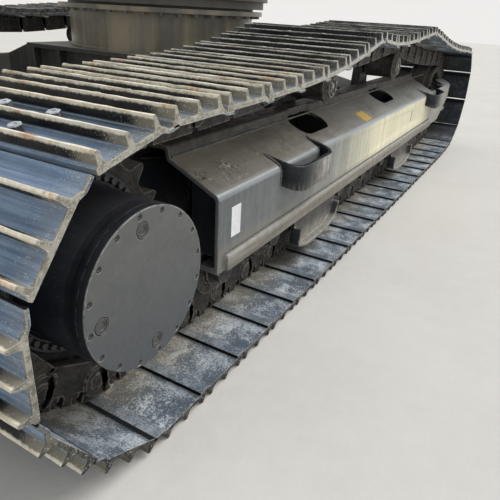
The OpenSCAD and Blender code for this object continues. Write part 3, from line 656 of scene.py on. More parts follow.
def frame_steel():
    """The side frames' paint: dusty roof, streaked walls and a worn rub bar, with painted shade on the ridge,
    under the track, inside and on the rear of the wall, a painted pool of sunlight on the wall, and painted
    highlights on the bend, the rub bar's top and the rear edges.
    """
    s = Finish("frame_steel")
    x, y, z = s.axes(s.place)
    facing_x, _, facing_z = s.axes(s.facing())
    out = s.minus(s.work("ABSOLUTE", y), TRACK_Y)
    upright = s.minus(1, s.ramp(facing_z, 0.3, 0.75))
    # where each part of the frame is
    wall = s.both(s.ramp(out, 0.219, 0.222), upright)
    inside = s.both(s.ramp(out, 0.213, 0.206), upright)
    bend = s.both(s.within(z, 0.568, 0.59, 0.006), s.ramp(out, 0.198, 0.208))
    rub_bar = s.both(s.ramp(out, 0.2262, 0.2272), s.ramp(z, 0.376, 0.37))
    rear_edge_highlight = s.both(s.ramp(facing_x, -0.8, -0.95), s.ramp(x, FRAME_REAR + 0.02, FRAME_REAR + 0.01))
    ridge = s.both(s.within(out, -0.085, RIDGE_OUT + 0.002, 0.002), s.ramp(z, 0.668, 0.676))
    along = s.ramp(x, SPROCKET.x + 0.4, IDLER.x - 0.7)
    by_drive = s.ramp(x, SPROCKET.x + 1.3, SPROCKET.x + 0.45)
    # painted sunlight: the stretch of wall that is painted pale and warm
    painted_sunlight = s.ramp(x, SPROCKET.x + 1.2, SPROCKET.x + 2.3)
    under_track_shadow = s.both(s.ramp(out, 0.185, 0.03), s.ramp(x, SPROCKET.x + 0.5, SPROCKET.x + 0.95))
    # the marks on it
    patch = s.patches(4, 0.38, 0.62)
    small = s.patches(26, 0.4, 0.64)
    run = s.streaks((75, 75, 3), 0.34, 0.68)
    wide_run = s.streaks((16, 16, 1.4), 0.38, 0.62)
    sweep = s.streaks((2.5, 60, 60), 0.36, 0.66)
    slid = s.streaks((110, 7, 7), 0.42, 0.7)
    scarred = s.both(s.both(by_drive, s.patches(9, 0.42, 0.56)), s.within(out, 0.1, 0.2, 0.03))
    s.weather(210, 0.7, 0.006)
    roof = s.coats(
        s.tint(along, (0.195, 0.175, 0.14), (0.265, 0.278, 0.272)),
        (patch, s.level(along, 0.75, 0.45), (0.092, 0.08, 0.062)),
        (sweep, 0.25, (0.29, 0.28, 0.25)),
        (small, 0.25, (0.26, 0.245, 0.205)),
        (by_drive, s.both(s.ramp(out, 0.17, 0.05), 0.5), (0.29, 0.25, 0.19)),
        (slid, 0.35, (0.3, 0.275, 0.225)),
        # painted shadow: the roof is painted darker up towards the ridge, where the track's upper run shades
        # it
        (under_track_shadow, 0.45, (0.07, 0.058, 0.043)),
        (s.patches(85, 0.555, 0.6), scarred, (0.02, 0.018, 0.015)),
        (s.patches(60, 0.545, 0.62), scarred, (0.5, 0.47, 0.38)),
    )
    walls = s.coats(
        (0.098, 0.106, 0.112),
        # the wall is painted darker at the rear as painted shade, then pale and warm as a painted pool of
        # sunlight up to the second step, and grey past it
        (s.ramp(x, SPROCKET.x + 0.5, SPROCKET.x + 1.4), 1, (0.205, 0.222, 0.212)),
        (painted_sunlight, 1, (0.82, 0.77, 0.54)),
        (wide_run, s.level(painted_sunlight, 0.45, 0.15), (0.09, 0.1, 0.104)),
        (run, s.level(painted_sunlight, 0.5, 0.25), (0.175, 0.18, 0.172)),
        (s.ramp(z, 0.42, 0.37), s.level(painted_sunlight, 0.5, 0.12), (0.22, 0.205, 0.165)),
        (s.ramp(x, STEP_PLACES[1] + 0.05, STEP_PLACES[1] + 0.3), 1, (0.27, 0.265, 0.235)),
    )
    bars = s.coats(
        (0.125, 0.112, 0.088),
        # painted highlight and shade: the rub bar is painted pale on top and dark brown underneath
        (s.ramp(z, 0.34, 0.368), 1, (0.33, 0.325, 0.295)),
        (sweep, 0.4, (0.42, 0.41, 0.37)),
        (small, 0.35, (0.15, 0.135, 0.105)),
        (run, 0.35, (0.24, 0.215, 0.17)),
    )
    colour = s.coats(
        roof,
        (wall, 1, walls),
        # painted shade: the inner faces of the hollow frame are painted near black
        (inside, 1, (0.0035, 0.0055, 0.0095)),
        # painted highlight: a pale bluish stripe along the bend between wall and roof; its roughness is also
        # lower
        (bend, s.level(sweep, 0.35, 0.9), (0.3, 0.335, 0.36)),
        (rub_bar, 1, bars),
        # painted highlight: the plates' rear-facing end faces are painted paler than the dark inside
        (rear_edge_highlight, 1, (0.115, 0.12, 0.122)),
        # painted shade: the ridge under the track's upper run is painted dark brown
        (ridge, s.level(small, 0.75, 0.97), (0.04, 0.033, 0.025)),
        (s.specks, 0.3, (0.34, 0.32, 0.28)),
        (s.rubbed, 0.75, (0.34, 0.34, 0.31)),
    )
    rough = s.level(bend, s.level(small, 0.45, 0.7), 0.32)
    return s.done(colour, rough, s.plus(s.grain(30, 7), s.both(run, 0.25)), 0.0012, 0.6, sand=0.5)


def shoe_steel():
    """Track shoes: dark valleys with a painted bluish sheen, bare tan tips, dusty ends, and caked mud on the
    chain's side; painted shade under the lips, on the lips' ends and round the idler, and a painted highlight
    at the grousers' feet.
    """
    s = Finish("shoe_steel", specular=0.22)
    world_x, world_y, world_z = s.axes(s.place)
    local = s.add("Attribute", attribute_name="local", attribute_type="GEOMETRY").outputs["Vector"]
    seed = s.add("Attribute", attribute_name="seed", attribute_type="GEOMETRY").outputs["Fac"]
    along, across, out = s.axes(local)
    shift = s.add("CombineXYZ", {0: s.both(seed, 3.7), 1: s.both(seed, 11.3), 2: s.both(seed, 5.1)})
    s.place = s.vector("ADD", local, shift.outputs[0])
    # where on the shoe
    from_end = s.minus(SHOE_W / 2, s.work("ABSOLUTE", across))
    near_end = s.ramp(from_end, 0.16, 0.015)
    end_face = s.ramp(from_end, 0.0056, 0.005)
    between = s.ramp(out, 0.085, 0.081)
    foot_highlight = s.within(out, 0.0795, 0.0815, 0.0008)
    lip = s.ramp(along, 0.1015, 0.1045)
    lip_end_shade = s.both(s.ramp(along, 0.1482, 0.1496), s.ramp(out, 0.055, 0.0562))
    inner = s.level(s.ramp(along, 0.105, 0.106), s.ramp(out, 0.0662, 0.0654), s.ramp(out, 0.0612, 0.06))
    shaded = s.both(inner, s.ramp(along, -0.04, -0.062))
    under_lip_shade = s.both(inner, s.within(along, -0.098, -0.064, 0.004))
    # where on the machine
    behind = s.ramp(world_x, SPROCKET.x + 0.1, SPROCKET.x - 0.2)
    ahead = s.ramp(world_x, SPROCKET.x + 0.15, SPROCKET.x + 1.5)
    idler_shade = s.ramp(world_x, IDLER.x - 0.05, IDLER.x + 0.2)
    raised = s.ramp(world_z, 0.18, 0.62)
    grounded = s.ramp(world_z, 0.2, 0.05)
    inboard = s.ramp(s.minus(s.work("ABSOLUTE", world_y), TRACK_Y), -0.22, -0.33)
    # the marks on it
    line = s.streaks((90, 3, 90), 0.36, 0.64)
    patch = s.patches(9, 0.4, 0.62)
    small = s.patches(70, 0.42, 0.6)
    rust = s.patches(11, 0.58, 0.66)
    mud = s.use(CAKED_MUD, Scale=11)
    s.weather(180, 0.6, 0.0028)
    tip_start = s.plus(s.level(patch, 0.1, 0.1015), s.both(ahead, 0.0062))
    frayed = s.both(s.minus(s.grain(90, 5, 0.7), 0.5), 0.01)
    tip = s.ramp(s.minus(s.plus(out, frayed), tip_start), -0.001, 0.0045)
    nearness = s.both(s.ramp(from_end, 0.125, 0.012), s.level(s.either(ahead, inboard), 0.62, 0.36))
    dusted = s.ramp(s.plus(nearness, s.both(s.grain(210, 6, 0.75), 0.62)), 0.52, 0.9)
    flank = s.coats(
        (0.004, 0.005, 0.0072),
        (patch, 0.6, (0.01, 0.0108, 0.0112)),
        (dusted, 0.85, s.tint(ahead, (0.3, 0.275, 0.215), (0.15, 0.154, 0.142))),
        (s.both(small, s.ramp(out, 0.092, 0.105)), s.level(ahead, 0.3, 0), (0.12, 0.108, 0.085)),
        (grounded, 0.6, (0.055, 0.05, 0.04)),
    )
    valley = s.coats(
        (0.012, 0.018, 0.027),
        # painted reflection: bluish streaks of sheen along the dark valleys
        (line, 1, (0.072, 0.1, 0.138)),
        # painted light: the valleys of the shoes behind the sprocket are painted a pale sky blue
        (behind, 0.7, s.tint(line, (0.175, 0.26, 0.39), (0.31, 0.44, 0.62))),
        (patch, s.level(behind, 0.4, 0.12), (0.012, 0.015, 0.02)),
        (dusted, s.level(behind, 0.55, 0.25), (0.35, 0.36, 0.35)),
    )
    bare = s.coats(
        (0.96, 0.89, 0.7),
        (small, 1, (0.76, 0.65, 0.45)),
        (line, 0.5, (0.98, 0.95, 0.84)),
        (patch, 0.22, (0.46, 0.37, 0.24)),
        (rust, s.both(s.minus(1, ahead), 0.75), (0.62, 0.29, 0.1)),
        (ahead, 0.8, s.tint(line, (0.13, 0.135, 0.13), (0.58, 0.58, 0.545))),
        (grounded, 1, (0.12, 0.105, 0.08)),
    )
    ends = s.coats(
        s.tint(small, (0.06, 0.056, 0.048), (0.022, 0.021, 0.02)),
        (raised, 1, s.coats(s.tint(small, (0.34, 0.325, 0.27), (0.195, 0.182, 0.148)),
                            (ahead, 0.5, (0.47, 0.465, 0.42)))),
        (inboard, 1, (0.04, 0.037, 0.032)),
    )
    outer = s.coats(
        flank,
        (between, 1, valley),
        # painted highlight: a thin pale line where each grouser's fillet meets the valley
        (foot_highlight, s.level(line, 0.35, 0.8), (0.26, 0.3, 0.34)),
        (tip, 1, bare),
        (end_face, 1, ends),
    )
    by_chain = s.ramp(from_end, 0.07, 0.26)
    plate = s.coats(
        s.tint(by_chain, (0.088, 0.112, 0.136), (0.18, 0.165, 0.135)),
        (mud["Mask"], s.level(patch, 0.85, 0.5), s.tint(by_chain, (0.62, 0.67, 0.7), (0.55, 0.52, 0.45))),
        (lip, 0.5, (0.1, 0.125, 0.15)),
        # painted shade: the inner faces of the shoes round the idler are painted near black
        (idler_shade, 0.88, (0.012, 0.015, 0.02)),
    )
    worn = s.coats(
        (0.085, 0.08, 0.072),
        (s.either(raised, inner), 1, (0.64, 0.61, 0.53)),
        (inboard, 1, (0.12, 0.115, 0.1)),
        (ahead, 0.6, (0.22, 0.23, 0.225)),
    )
    colour = s.coats(
        outer,
        (inner, 1, plate),
        (s.specks, s.level(inner, s.both(near_end, 0.75), 0.15), (0.6, 0.6, 0.57)),
        (shaded, 0.6, (0.016, 0.024, 0.034)),
        # painted shade: the inner face under the neighbouring shoe's lip is painted near black
        (under_lip_shade, 0.97, (0.002, 0.0025, 0.0032)),
        (s.rubbed, 0.8, worn),
        # painted shade: the end of the lip is painted near black
        (lip_end_shade, 1, (0.003, 0.0035, 0.0045)),
    )
    rough = s.level(s.either(inner, s.either(s.both(near_end, small), tip)), 0.3, 0.7)
    relief = s.plus(s.both(inner, s.both(mud["Height"], 1.5)), s.grain(60, 6))
    return s.done(colour, rough, relief, 0.0016, 0.7, sand=0.45)


def chain_steel():
    """Links, bushings and wheels: oily brown dirt with dry tan dust, rubbed pale on their edges, and painted
    shade in their hollows.
    """
    s = Finish("chain_steel")
    lumps = s.use(CAKED_MUD, Scale=14)
    patch = s.patches(18, 0.42, 0.6)
    s.weather(220, 0.7, 0.008)
    hollow_shade = s.ramp(s.add("AmbientOcclusion", {"Distance": 0.06}, samples=6).outputs["AO"], 0.85, 0.4)
    colour = s.coats(
        (0.012, 0.0115, 0.011),
        (patch, 1, (0.035, 0.031, 0.025)),
        (lumps["Mask"], 0.5, (0.108, 0.094, 0.072)),
        (s.patches(38, 0.46, 0.58), 0.8, (0.008, 0.008, 0.008)),
        (s.dust(22), 0.5, (0.26, 0.24, 0.195)),
        # painted shade: hollows found by the ambient occlusion node are painted near black
        (hollow_shade, 0.96, (0.002, 0.002, 0.002)),
        (s.rubbed, 0.85, (0.33, 0.305, 0.26)),
        (s.specks, 0.25, (0.34, 0.32, 0.27)),
    )
    return s.done(colour, s.level(patch, 0.5, 0.75), lumps["Height"], 0.003, 0.8, sand=0.4)


def guard_steel():
    """The guards under the side frames: dark up in the shade, grey with tan dust below, a scraped rim."""
    low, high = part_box("right_track_guards")
    s = Finish("guard_steel")
    small = s.patches(34, 0.4, 0.64)
    s.weather(200, 0.7, 0.007)
    colour = s.coats(
        s.tint(small, (0.2, 0.19, 0.16), (0.14, 0.135, 0.118)),
        (s.streaks((50, 50, 5), 0.36, 0.66), 0.4, (0.28, 0.265, 0.22)),
        # painted shadow: the guards are painted darker high up, under the side frame
        (s.ramp(s.axes(s.place)["Z"], low.z + 0.02, high.z - 0.07), 0.88, (0.032, 0.031, 0.03)),
        # painted shade: faces that look to the rear are painted near black
        (s.ramp(s.axes(s.facing())["X"], -0.5, -0.9), 1, (0.022, 0.024, 0.028)),
        (s.specks, 0.3, (0.4, 0.38, 0.33)),
        (s.rubbed, 0.85, (0.5, 0.49, 0.44)),
    )
    return s.done(colour, s.level(small, 0.45, 0.65), s.grain(34, 6), 0.0012, 0.6, sand=0.5)


def step_paint():
    """Dark blue-black steps, dusty and scratched on the outer face, with pale rubbed edges; the outer face is
    painted dark towards its rear end as painted shade.
    """
    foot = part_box("right_steps")[0].z
    s = Finish("step_paint", specular=0.22)
    x, y, z = s.axes(s.place)
    outward = s.ramp(s.both(s.axes(s.facing())["Y"], s.work("SIGN", y)), 0.9, 0.995)
    along = s.work("FLOORED_MODULO", s.minus(x, STEP_PLACES[0] - 0.1), STEP_PLACES[1] - STEP_PLACES[0])
    run = s.streaks((110, 110, 4), 0.36, 0.64)
    small = s.patches(30, 0.4, 0.64)
    s.weather(200, 0.72, 0.005)
    worn = s.coats(
        # the outer face: painted shade, dark, over its rear part, and pale scratched runs ahead of it
        s.tint(run, (0.014, 0.017, 0.022), (0.04, 0.043, 0.045)),
        (s.ramp(along, 0.17, 0.42), 1, s.tint(run, (0.26, 0.26, 0.24), (0.56, 0.54, 0.46))),
    )
    colour = s.coats(
        s.tint(small, (0.007, 0.01, 0.015), (0.016, 0.019, 0.023)),
        (outward, s.level(small, 0.55, 0.9), worn),
        (s.ramp(z, foot + 0.05, foot), s.both(run, 0.6), (0.2, 0.185, 0.15)),
        (s.specks, 0.25, (0.32, 0.31, 0.28)),
        (s.rubbed, 0.9, (0.45, 0.46, 0.45)),
    )
    return s.done(colour, s.level(outward, 0.34, 0.55), s.both(run, 0.4), 0.0009, 0.6, sand=0.5)


def drum_paint():
    """Satin black with faint runs down it and a little dust on top."""
    s = Finish("drum_paint")
    patch = s.patches(6, 0.4, 0.65)
    dust = s.dust(8)
    s.weather(160, 0.86)
    colour = s.coats(
        (0.006, 0.0095, 0.018),
        (patch, 1, (0.012, 0.0165, 0.0255)),
        (s.streaks((60, 4, 8), 0.4, 0.7), 0.4, (0.028, 0.029, 0.033)),
        (dust, 0.3, (0.065, 0.058, 0.05)),
        (s.specks, 0.3, (0.2, 0.2, 0.19)),
    )
    rough = s.level(s.either(patch, dust), 0.36, 0.55)
    return s.done(colour, rough, s.grain(28, 5), 0.0009, 0.5, sand=0.3)


def cover_paint():
    """Dark grey satin, brushed by dust, with a bright rubbed rim."""
    s = Finish("cover_paint")
    brush = s.streaks((240, 40, 60), 0.3, 0.72)
    patch = s.patches(5, 0.4, 0.62)
    s.weather(240, 0.7, 0.005)
    high = s.ramp(s.axes(s.place)["Z"], SPROCKET.z - 0.18, SPROCKET.z + 0.2)
    from_middle = s.vector("SUBTRACT", s.place, (SPROCKET.x, 0, SPROCKET.z))
    radius = s.vector("LENGTH", s.vector("MULTIPLY", from_middle, (1, 0, 1)), gives="Value")
    rim = s.ramp(radius, DRUM_R - 0.009, DRUM_R - 0.005)
    colour = s.coats(
        s.tint(high, (0.046, 0.054, 0.062), (0.09, 0.094, 0.092)),
        (brush, 0.25, (0.12, 0.125, 0.125)),
        (patch, 0.3, (0.05, 0.055, 0.06)),
        (s.patches(45, 0.4, 0.66), s.both(high, 0.5), (0.115, 0.108, 0.088)),
        (s.specks, 0.2, (0.2, 0.2, 0.19)),
        (s.ramp(radius, DRUM_R - 0.0009, DRUM_R - 0.0003), 1, (0.012, 0.014, 0.018)),
        (s.rubbed, s.level(rim, 0.25, 0.95), (0.46, 0.46, 0.44)),
    )
    return s.done(colour, s.level(patch, 0.42, 0.56), s.both(brush, 0.25), 0.0006, 0.5, sand=0.5)


def floor_grey():
    """A plain pale floor of fine concrete."""
    s = Finish("floor_grey")
    small = s.patches(14, 0.35, 0.7)
    colour = s.coats(
        (0.66, 0.635, 0.59),
        (s.patches(1.6, 0.35, 0.65), 0.6, (0.6, 0.575, 0.53)),
        (small, 0.35, (0.7, 0.68, 0.64)),
    )
    return s.done(colour, s.level(small, 0.75, 0.9), s.grain(60, 6), 0.002, 0.4)


def label_paint(name, colour, dirt):
    """The blank plates' smooth paint, with a little dirt on it."""
    s = Finish(name)
    small = s.patches(60, 0.45, 0.7)
    marks = s.either(s.streaks((120, 120, 9), 0.45, 0.75), small)
    colour = s.coats(colour, (marks, 0.4, dirt))
    return s.done(colour, s.level(small, 0.35, 0.55), s.grain(300), 0.0002, 0.3)


# The shoe, with lip ahead, three grousers and four bolts

SHOE_CUTS = 20
SHOE_MAKERS = 7
# columns: along the link, distance of the bolt from the middle of the shoe
SHOE_BOLTS = [(0.042, 0.085), (-0.042, 0.058)]


def shoe_section():
    """Corners of the shoe's section, along the link and outwards, clockwise from the rear."""
    inner = PIN_H
    outer = PIN_H + PLATE_T
    tip = outer + GROUSER_H
    half_root, half_tip = GROUSER_ROOT / 2, GROUSER_TIP / 2
    corners = [(-0.0985, inner), (-0.1, inner + 0.003), (-0.1, outer - 0.003)]
    for g in (-GROUSER_STEP, 0.0, GROUSER_STEP):
        rear = [(g - half_root - 0.0065, outer), (g - half_root - 0.0015, outer + 0.002),
                (g - half_root + 0.0005, outer + 0.007), (g - half_tip - 0.0003, tip - 0.0025),
                (g - half_tip + 0.0015, tip)]
        corners += rear + [(2 * g - x, z) for x, z in reversed(rear)]
    return corners + [
        (0.1045, outer - 0.0028), (0.1095, outer - 0.0075), (0.115, outer - 0.0125), (0.122, 0.0642),
        (0.148, 0.064), (0.1512, 0.0622), (0.1512, 0.0566), (0.1495, 0.0552), (0.122, 0.055),
        (0.113, 0.0562), (0.106, 0.06), (0.0985, 0.0638), (0.09, inner)]


def shoe_block(chance):
    """One shoe in link coordinates, its tips and edges a little uneven, as worn ones are."""
    half = SHOE_W / 2
    piece = outline("shoe", [(x, -half, z) for x, z in shoe_section()])
    extruded(piece, (0, SHOE_W, 0), SHOE_CUTS)
    for corner in piece.data.vertices:
        at = corner.co
        end = abs(abs(at.y) - half) < 0.0001
        if end and at.z > 0.08:
            at.y -= math.copysign(0.005 * (at.z - 0.078) / 0.032, at.y)
        if at.z > 0.1:
            at.z -= abs(chance.gauss(0, 0.0007))
            at.x += chance.gauss(0, 0.0004)
        elif at.x > 0.147 or at.x < -0.096:
            at.x -= math.copysign(abs(chance.gauss(0, 0.0007)), at.x)
    return smooth(piece, 28)


def bolt_head(name, radius, height, at, sides=6, dimple=True):
    """A bolt head that stands up along Z: chamfered, with a shallow dimple."""
    clear_selection()
    bpy.ops.mesh.primitive_cylinder_add(vertices=sides, radius=radius, depth=height,
                                        location=(at[0], at[1], at[2] + height / 2))
    piece = named(name)
    top = at[2] + height - 0.0001
    steps = [(radius * 0.14, height * 0.12)]
    if dimple:
        steps += [(radius * 0.38, 0.0), (radius * 0.12, -height * 0.12)]
    ringed(piece, lambda centre, normal: centre.z > top and normal.z > 0.9, steps)
    pick(piece, lambda centre, normal: centre.z < at[2] + 0.0001 and normal.z < -0.9)
    with editing(piece, everything=False):
        bpy.ops.mesh.delete(type="FACE")
    return smooth(piece, 30)


def put_attributes(piece, k):
    """Keeps the place on the link and the shoe's number, for the shoes' material."""
    mesh = piece.data
    local = mesh.attributes.new("local", "FLOAT_VECTOR", "POINT")
    local.data.foreach_set("vector", [value for corner in mesh.vertices for value in corner.co])
    seed = mesh.attributes.new("seed", "FLOAT", "POINT")
    seed.data.foreach_set("value", [float(k)] * len(mesh.vertices))


def track_shoes(steel, zinc):
    chance = random.Random(11)
    head = bolt_head("shoe_bolt", 0.018, 0.0185, (0, 0, PIN_H + PLATE_T - 0.001))
    makers = [shoe_block(chance) for _ in range(SHOE_MAKERS)]
    shoes, bolts = [], []
    for k in range(SHOE_COUNT):
        shoe = copied(makers[(k * 3) % SHOE_MAKERS])
        put_attributes(shoe, k)
        shoe.data.transform(link_matrix(k))
        shoes.append(shoe)
        for along, across in SHOE_BOLTS:
            for side in (-1, 1):
                turn = Matrix.Rotation(chance.uniform(0, 1), 4, "Z")
                place = Matrix.Translation((along, side * across, 0))
                bolts.append(copied(head, link_matrix(k), place, turn))
    removed(head, *makers)
    pair(joined("right_shoes", shoes), steel, "shoe_steel", "track")
    pair(joined("right_shoe_bolts", bolts), zinc, "shoe_steel")


# The chain: cast link rails with windows, pin bosses and bushings

def link_body():
    tread, pad = PIN_H - LINK_H, PIN_H - 0.0005
    half = [(0.016, pad), (0.016, 0.038), (0.024, 0.027), (0.05, 0.027), (0.058, 0.038), (0.058, pad),
            (0.08, pad), (0.086, 0.046), (0.086, -0.036), (0.094, -0.058), (0.092, tread)]
    points = half + [(-x, z) for x, z in reversed(half)]
    return extruded(outline("link_body", [(x, 0.064, z) for x, z in points]), (0, 0.033, 0))


def link_boss(x, y_in, y_out, radius):
    """An ear of the link round its pin, with rings on its outer face."""
    piece = bar("link_boss", (x, y_in, 0), (x, y_out, 0), radius, 18)
    for corner in piece.data.vertices:
        if abs(corner.co.x) < abs(x) - 0.02:
            corner.co.x = math.copysign(0.068, x)
            corner.co.z *= 1.12
    return ringed(piece, lambda centre, normal: normal.y > 0.9,
                  [(0.013, -0.002), (0.007, 0.0), (0.003, 0.003), (0.009, 0.0), (0.003, -0.0015)])


def chain_link():
    nut = joined("shoe_nut", [bolt_head("nut", 0.0165, 0.015, (0, 0, 0.002)),
                              bar("shank", (0, 0, -0.022), (0, 0, 0.004), 0.0095, 10)])
    pieces = [copied(nut, Matrix.Translation((x, y, 0.045)), Matrix.Rotation(math.pi, 4, "X"))
              for x in (-0.037, 0.037) for y in (-0.0805, 0.0805)]
    rail = joined("link_rail", [link_body(), link_boss(0.108, 0.081, 0.105, 0.049),
                                link_boss(-0.108, 0.057, 0.08, 0.047)])
    pieces += [mirrored(rail), rail, bar("bushing", (-0.108, -0.058, 0), (-0.108, 0.058, 0), BUSHING_R, 20)]
    removed(nut)
    return smooth(joined("link", pieces), 32)


def track_chains(steel):
    maker = chain_link()
    links = [copied(maker, link_matrix(k)) for k in range(SHOE_COUNT)]
    removed(maker)
    pair(joined("right_chain", links), steel, "chain_steel", "track")


# Final drive: drum, cover with its bolts and plugs, and the sprocket's bolts

COVER_FACE = -(TRACK_Y + SHOE_W / 2 - 0.05)
COVER_SEAT = COVER_FACE + 0.024
FLANGE_FACE = -(TRACK_Y + 0.0603)
FLANGE_R = 0.256
DRUM_INSIDE_R = 0.15
COVER_BOLT_RING = 0.2015
COVER_BOLT_ANGLES = [7.2 + 22.5 * i for i in range(16)]
# columns: depth of the drum's groove, distance behind the cover's seat
GROOVE = [(0, 0.047), (0.0022, 0.043), (0.0028, 0.039), (0.0028, 0.022), (0.0022, 0.019), (0, 0.015)]
PLUG_RING = 0.1663
PLUG_ANGLES = [96, 186, 276]
SPROCKET_BOLT_RING = 0.236
SPROCKET_BOLT_ANGLES = [4 + 7.5 * i for i in range(48)]


def around(radius, angle, y):
    """A point on a ring about the sprocket's axis."""
    x, z = on_circle(SPROCKET, radius, math.radians(angle))
    return Vector((x, y, z))


def on_cross_axis(piece, at):
    """A copy of a head that stands up along Z, turned to stand out to the right at its place."""
    return copied(piece, Matrix.Translation(at), Matrix.Rotation(math.pi / 2, 4, "X"))


def final_drive(paint, cover_finish, dark, plug_finish):
    drum = smooth(spun("right_drum", [
        (DRUM_INSIDE_R, -TRACK_Y + 0.139), (0.204, -TRACK_Y + 0.139), (0.204, -TRACK_Y + 0.062),
        (DRUM_R - 0.001, -TRACK_Y + 0.042), (DRUM_R - 0.001, FLANGE_FACE + 0.018),
        (FLANGE_R, FLANGE_FACE + 0.018), (FLANGE_R, FLANGE_FACE + 0.003), (FLANGE_R - 0.003, FLANGE_FACE),
        (DRUM_R + 0.006, FLANGE_FACE), (DRUM_R, FLANGE_FACE - 0.006),
        *((DRUM_R - depth, COVER_SEAT + back) for depth, back in GROOVE),
        (DRUM_R, COVER_SEAT), (DRUM_INSIDE_R, COVER_SEAT)], SPROCKET, 128), 30)
    cover = spun("right_cover", [
        (0, COVER_SEAT), (DRUM_R, COVER_SEAT), (DRUM_R, COVER_FACE + 0.004),
        (DRUM_R - 0.0015, COVER_FACE + 0.001), (DRUM_R - 0.004, COVER_FACE),
        (DRUM_R - 0.006, COVER_FACE), (0, COVER_FACE)], SPROCKET, 128)
    # columns: ring, angles, depth of the hole, its radius, its sides
    holes = [(COVER_BOLT_RING, COVER_BOLT_ANGLES, 0.007, 0.0082, 20),
             (PLUG_RING, PLUG_ANGLES, 0.004, 0.0225, 32)]
    cut(cover, [bar("hole", around(ring, a, COVER_FACE - 0.01), around(ring, a, COVER_FACE + depth), r, sides)
                for ring, angles, depth, r, sides in holes for a in angles])
    smooth(cover, 30)
    head = bolt_head("socket_bolt", 0.007, 0.0045, (0, 0, 0), 16, dimple=False)
    plug = bolt_head("plug", 0.02, 0.0045, (0, 0, 0), 32, dimple=False)
    for maker, steps in (
        (head, [(0.0022, 0.0), (0.0004, -0.0035)]),
        (plug, [(0.002, 0.0), (0.0012, -0.0014), (0.0012, 0.0014), (0.0055, 0.0), (0.0008, -0.0032)]),
    ):
        ringed(maker, lambda centre, normal: normal.z > 0.9 and centre.z > 0.004, steps)
    hex_head = bolt_head("sprocket_bolt", 0.0105, 0.01, (0, 0, 0))

    def rows(name, maker, ring, angles, y):
        return joined(name, [on_cross_axis(maker, around(ring, a, y)) for a in angles])

    heads = rows("right_cover_bolts", head, COVER_BOLT_RING, COVER_BOLT_ANGLES, COVER_FACE + 0.0068)
    plugs = rows("right_cover_plugs", plug, PLUG_RING, PLUG_ANGLES, COVER_FACE + 0.004)
    ring = rows("right_sprocket_bolts", hex_head, SPROCKET_BOLT_RING, SPROCKET_BOLT_ANGLES, FLANGE_FACE)
    removed(head, plug, hex_head)
    pair(drum, paint, "drum_paint", "final_drive")
    pair(cover, cover_finish, "cover_paint", "drive_cover")
    pair(heads, dark, "drum_paint")
    pair(plugs, plug_finish, "cover_paint")
    pair(ring, dark, "chain_steel")


# Welds, gussets, plates, and the bolts of the rings and rollers

ROOF_SLOPE = math.atan2(0.092, 0.194)
CAP_BOLTS = 6
CAP_BOLT_RING = 0.034
RING_BOLTS = 40
RACE_BOLT_RING = 0.577
PEDESTAL_BOLT_RING = 0.641
PEDESTAL_FLANGE_T = 0.026


def right_point(x, out, z):
    """A point on the right-hand crawler: out is measured outwards from the track's middle."""
    return Vector((x, -TRACK_Y - out, z))


def weld(paths, radius, chance, step):
    """Beads of weld along the paths, each bead a flattened drop, no two quite alike."""
    clear_selection()
    bpy.ops.mesh.primitive_uv_sphere_add(segments=6, ring_count=4, radius=radius)
    drop = named("drop")
    beads = []
    for path in paths:
        for start, end in zip(path, path[1:]):
            count = max(1, round((end - start).length / step))
            lie = (end - start).to_track_quat("X", "Z").to_matrix().to_4x4()
            for i in range(count):
                at = start.lerp(end, (i + chance.uniform(0.3, 0.7)) / count)
                size = [chance.uniform(0.8, 1.1), chance.uniform(0.85, 1.2), chance.uniform(0.8, 1.1), 1]
                beads.append(copied(drop, Matrix.Translation(at), lie, Matrix.Diagonal(size)))
    removed(drop)
    return smooth(joined("weld", beads), 60)


def frame_welds(material):
    chance = random.Random(5)
    paths = [[right_point(x, RIDGE_OUT, RIDGE_Z) for x in (FRAME_REAR + 0.01, FRAME_FRONT + 0.4)]]
    for x in STEP_PLACES:
        for leg in (x - 0.002, x + STEP_L + 0.002):
            paths.append([right_point(leg, WALL_OUT, 0.51), right_point(leg, WALL_OUT, 0.566),
                          right_point(leg, 0.215, 0.589), right_point(leg, 0.145, 0.6195)])
    beads = weld(paths, 0.0052, chance, 0.0075)
    bar_path = [right_point(x, WALL_OUT + 0.0005, RUB_BAR_TOP) for x in (FRAME_REAR + 0.04, FRAME_FRONT)]
    fine = weld([bar_path], 0.0045, chance, 0.009)
    pair(joined("right_welds", [beads, fine]), material, "frame_paint")


def end_gussets(material):
    """Upright plates that stiffen the side frame's open rear end, between its wall and the chain."""
    section = [(WALL_IN, 0.364), (WALL_IN, 0.57), (0.196, 0.587), (0.112, 0.622), (0.112, 0.364)]
    plate = outline("right_end_gusset", [right_point(FRAME_REAR + 0.008, out, z) for out, z in section])
    pair(bevelled(extruded(plate, (0.01, 0, 0)), 0.001, 1), material, "frame_paint")


def labels(white, yellow):
    """Two blank plates on the side frame: a white one on the wall, a yellow one on the roof."""
    wall = block("right_wall_label", right_point(-1.6187, WALL_OUT, 0.416),
                 right_point(-1.5597, 0.2236, 0.5255))
    roof = block("right_roof_label", (-0.191, -0.0385, -0.0004), (-0.076, 0.0385, 0.0008))
    lie = Matrix.Rotation(ROOF_SLOPE, 4, "X")
    roof.data.transform(Matrix.Translation(right_point(0, 0.1665, 0.6076)) @ lie)
    for piece, material in ((wall, white), (roof, yellow)):
        pair(bevelled(piece, 0.0005, 1), material, "frame_paint")


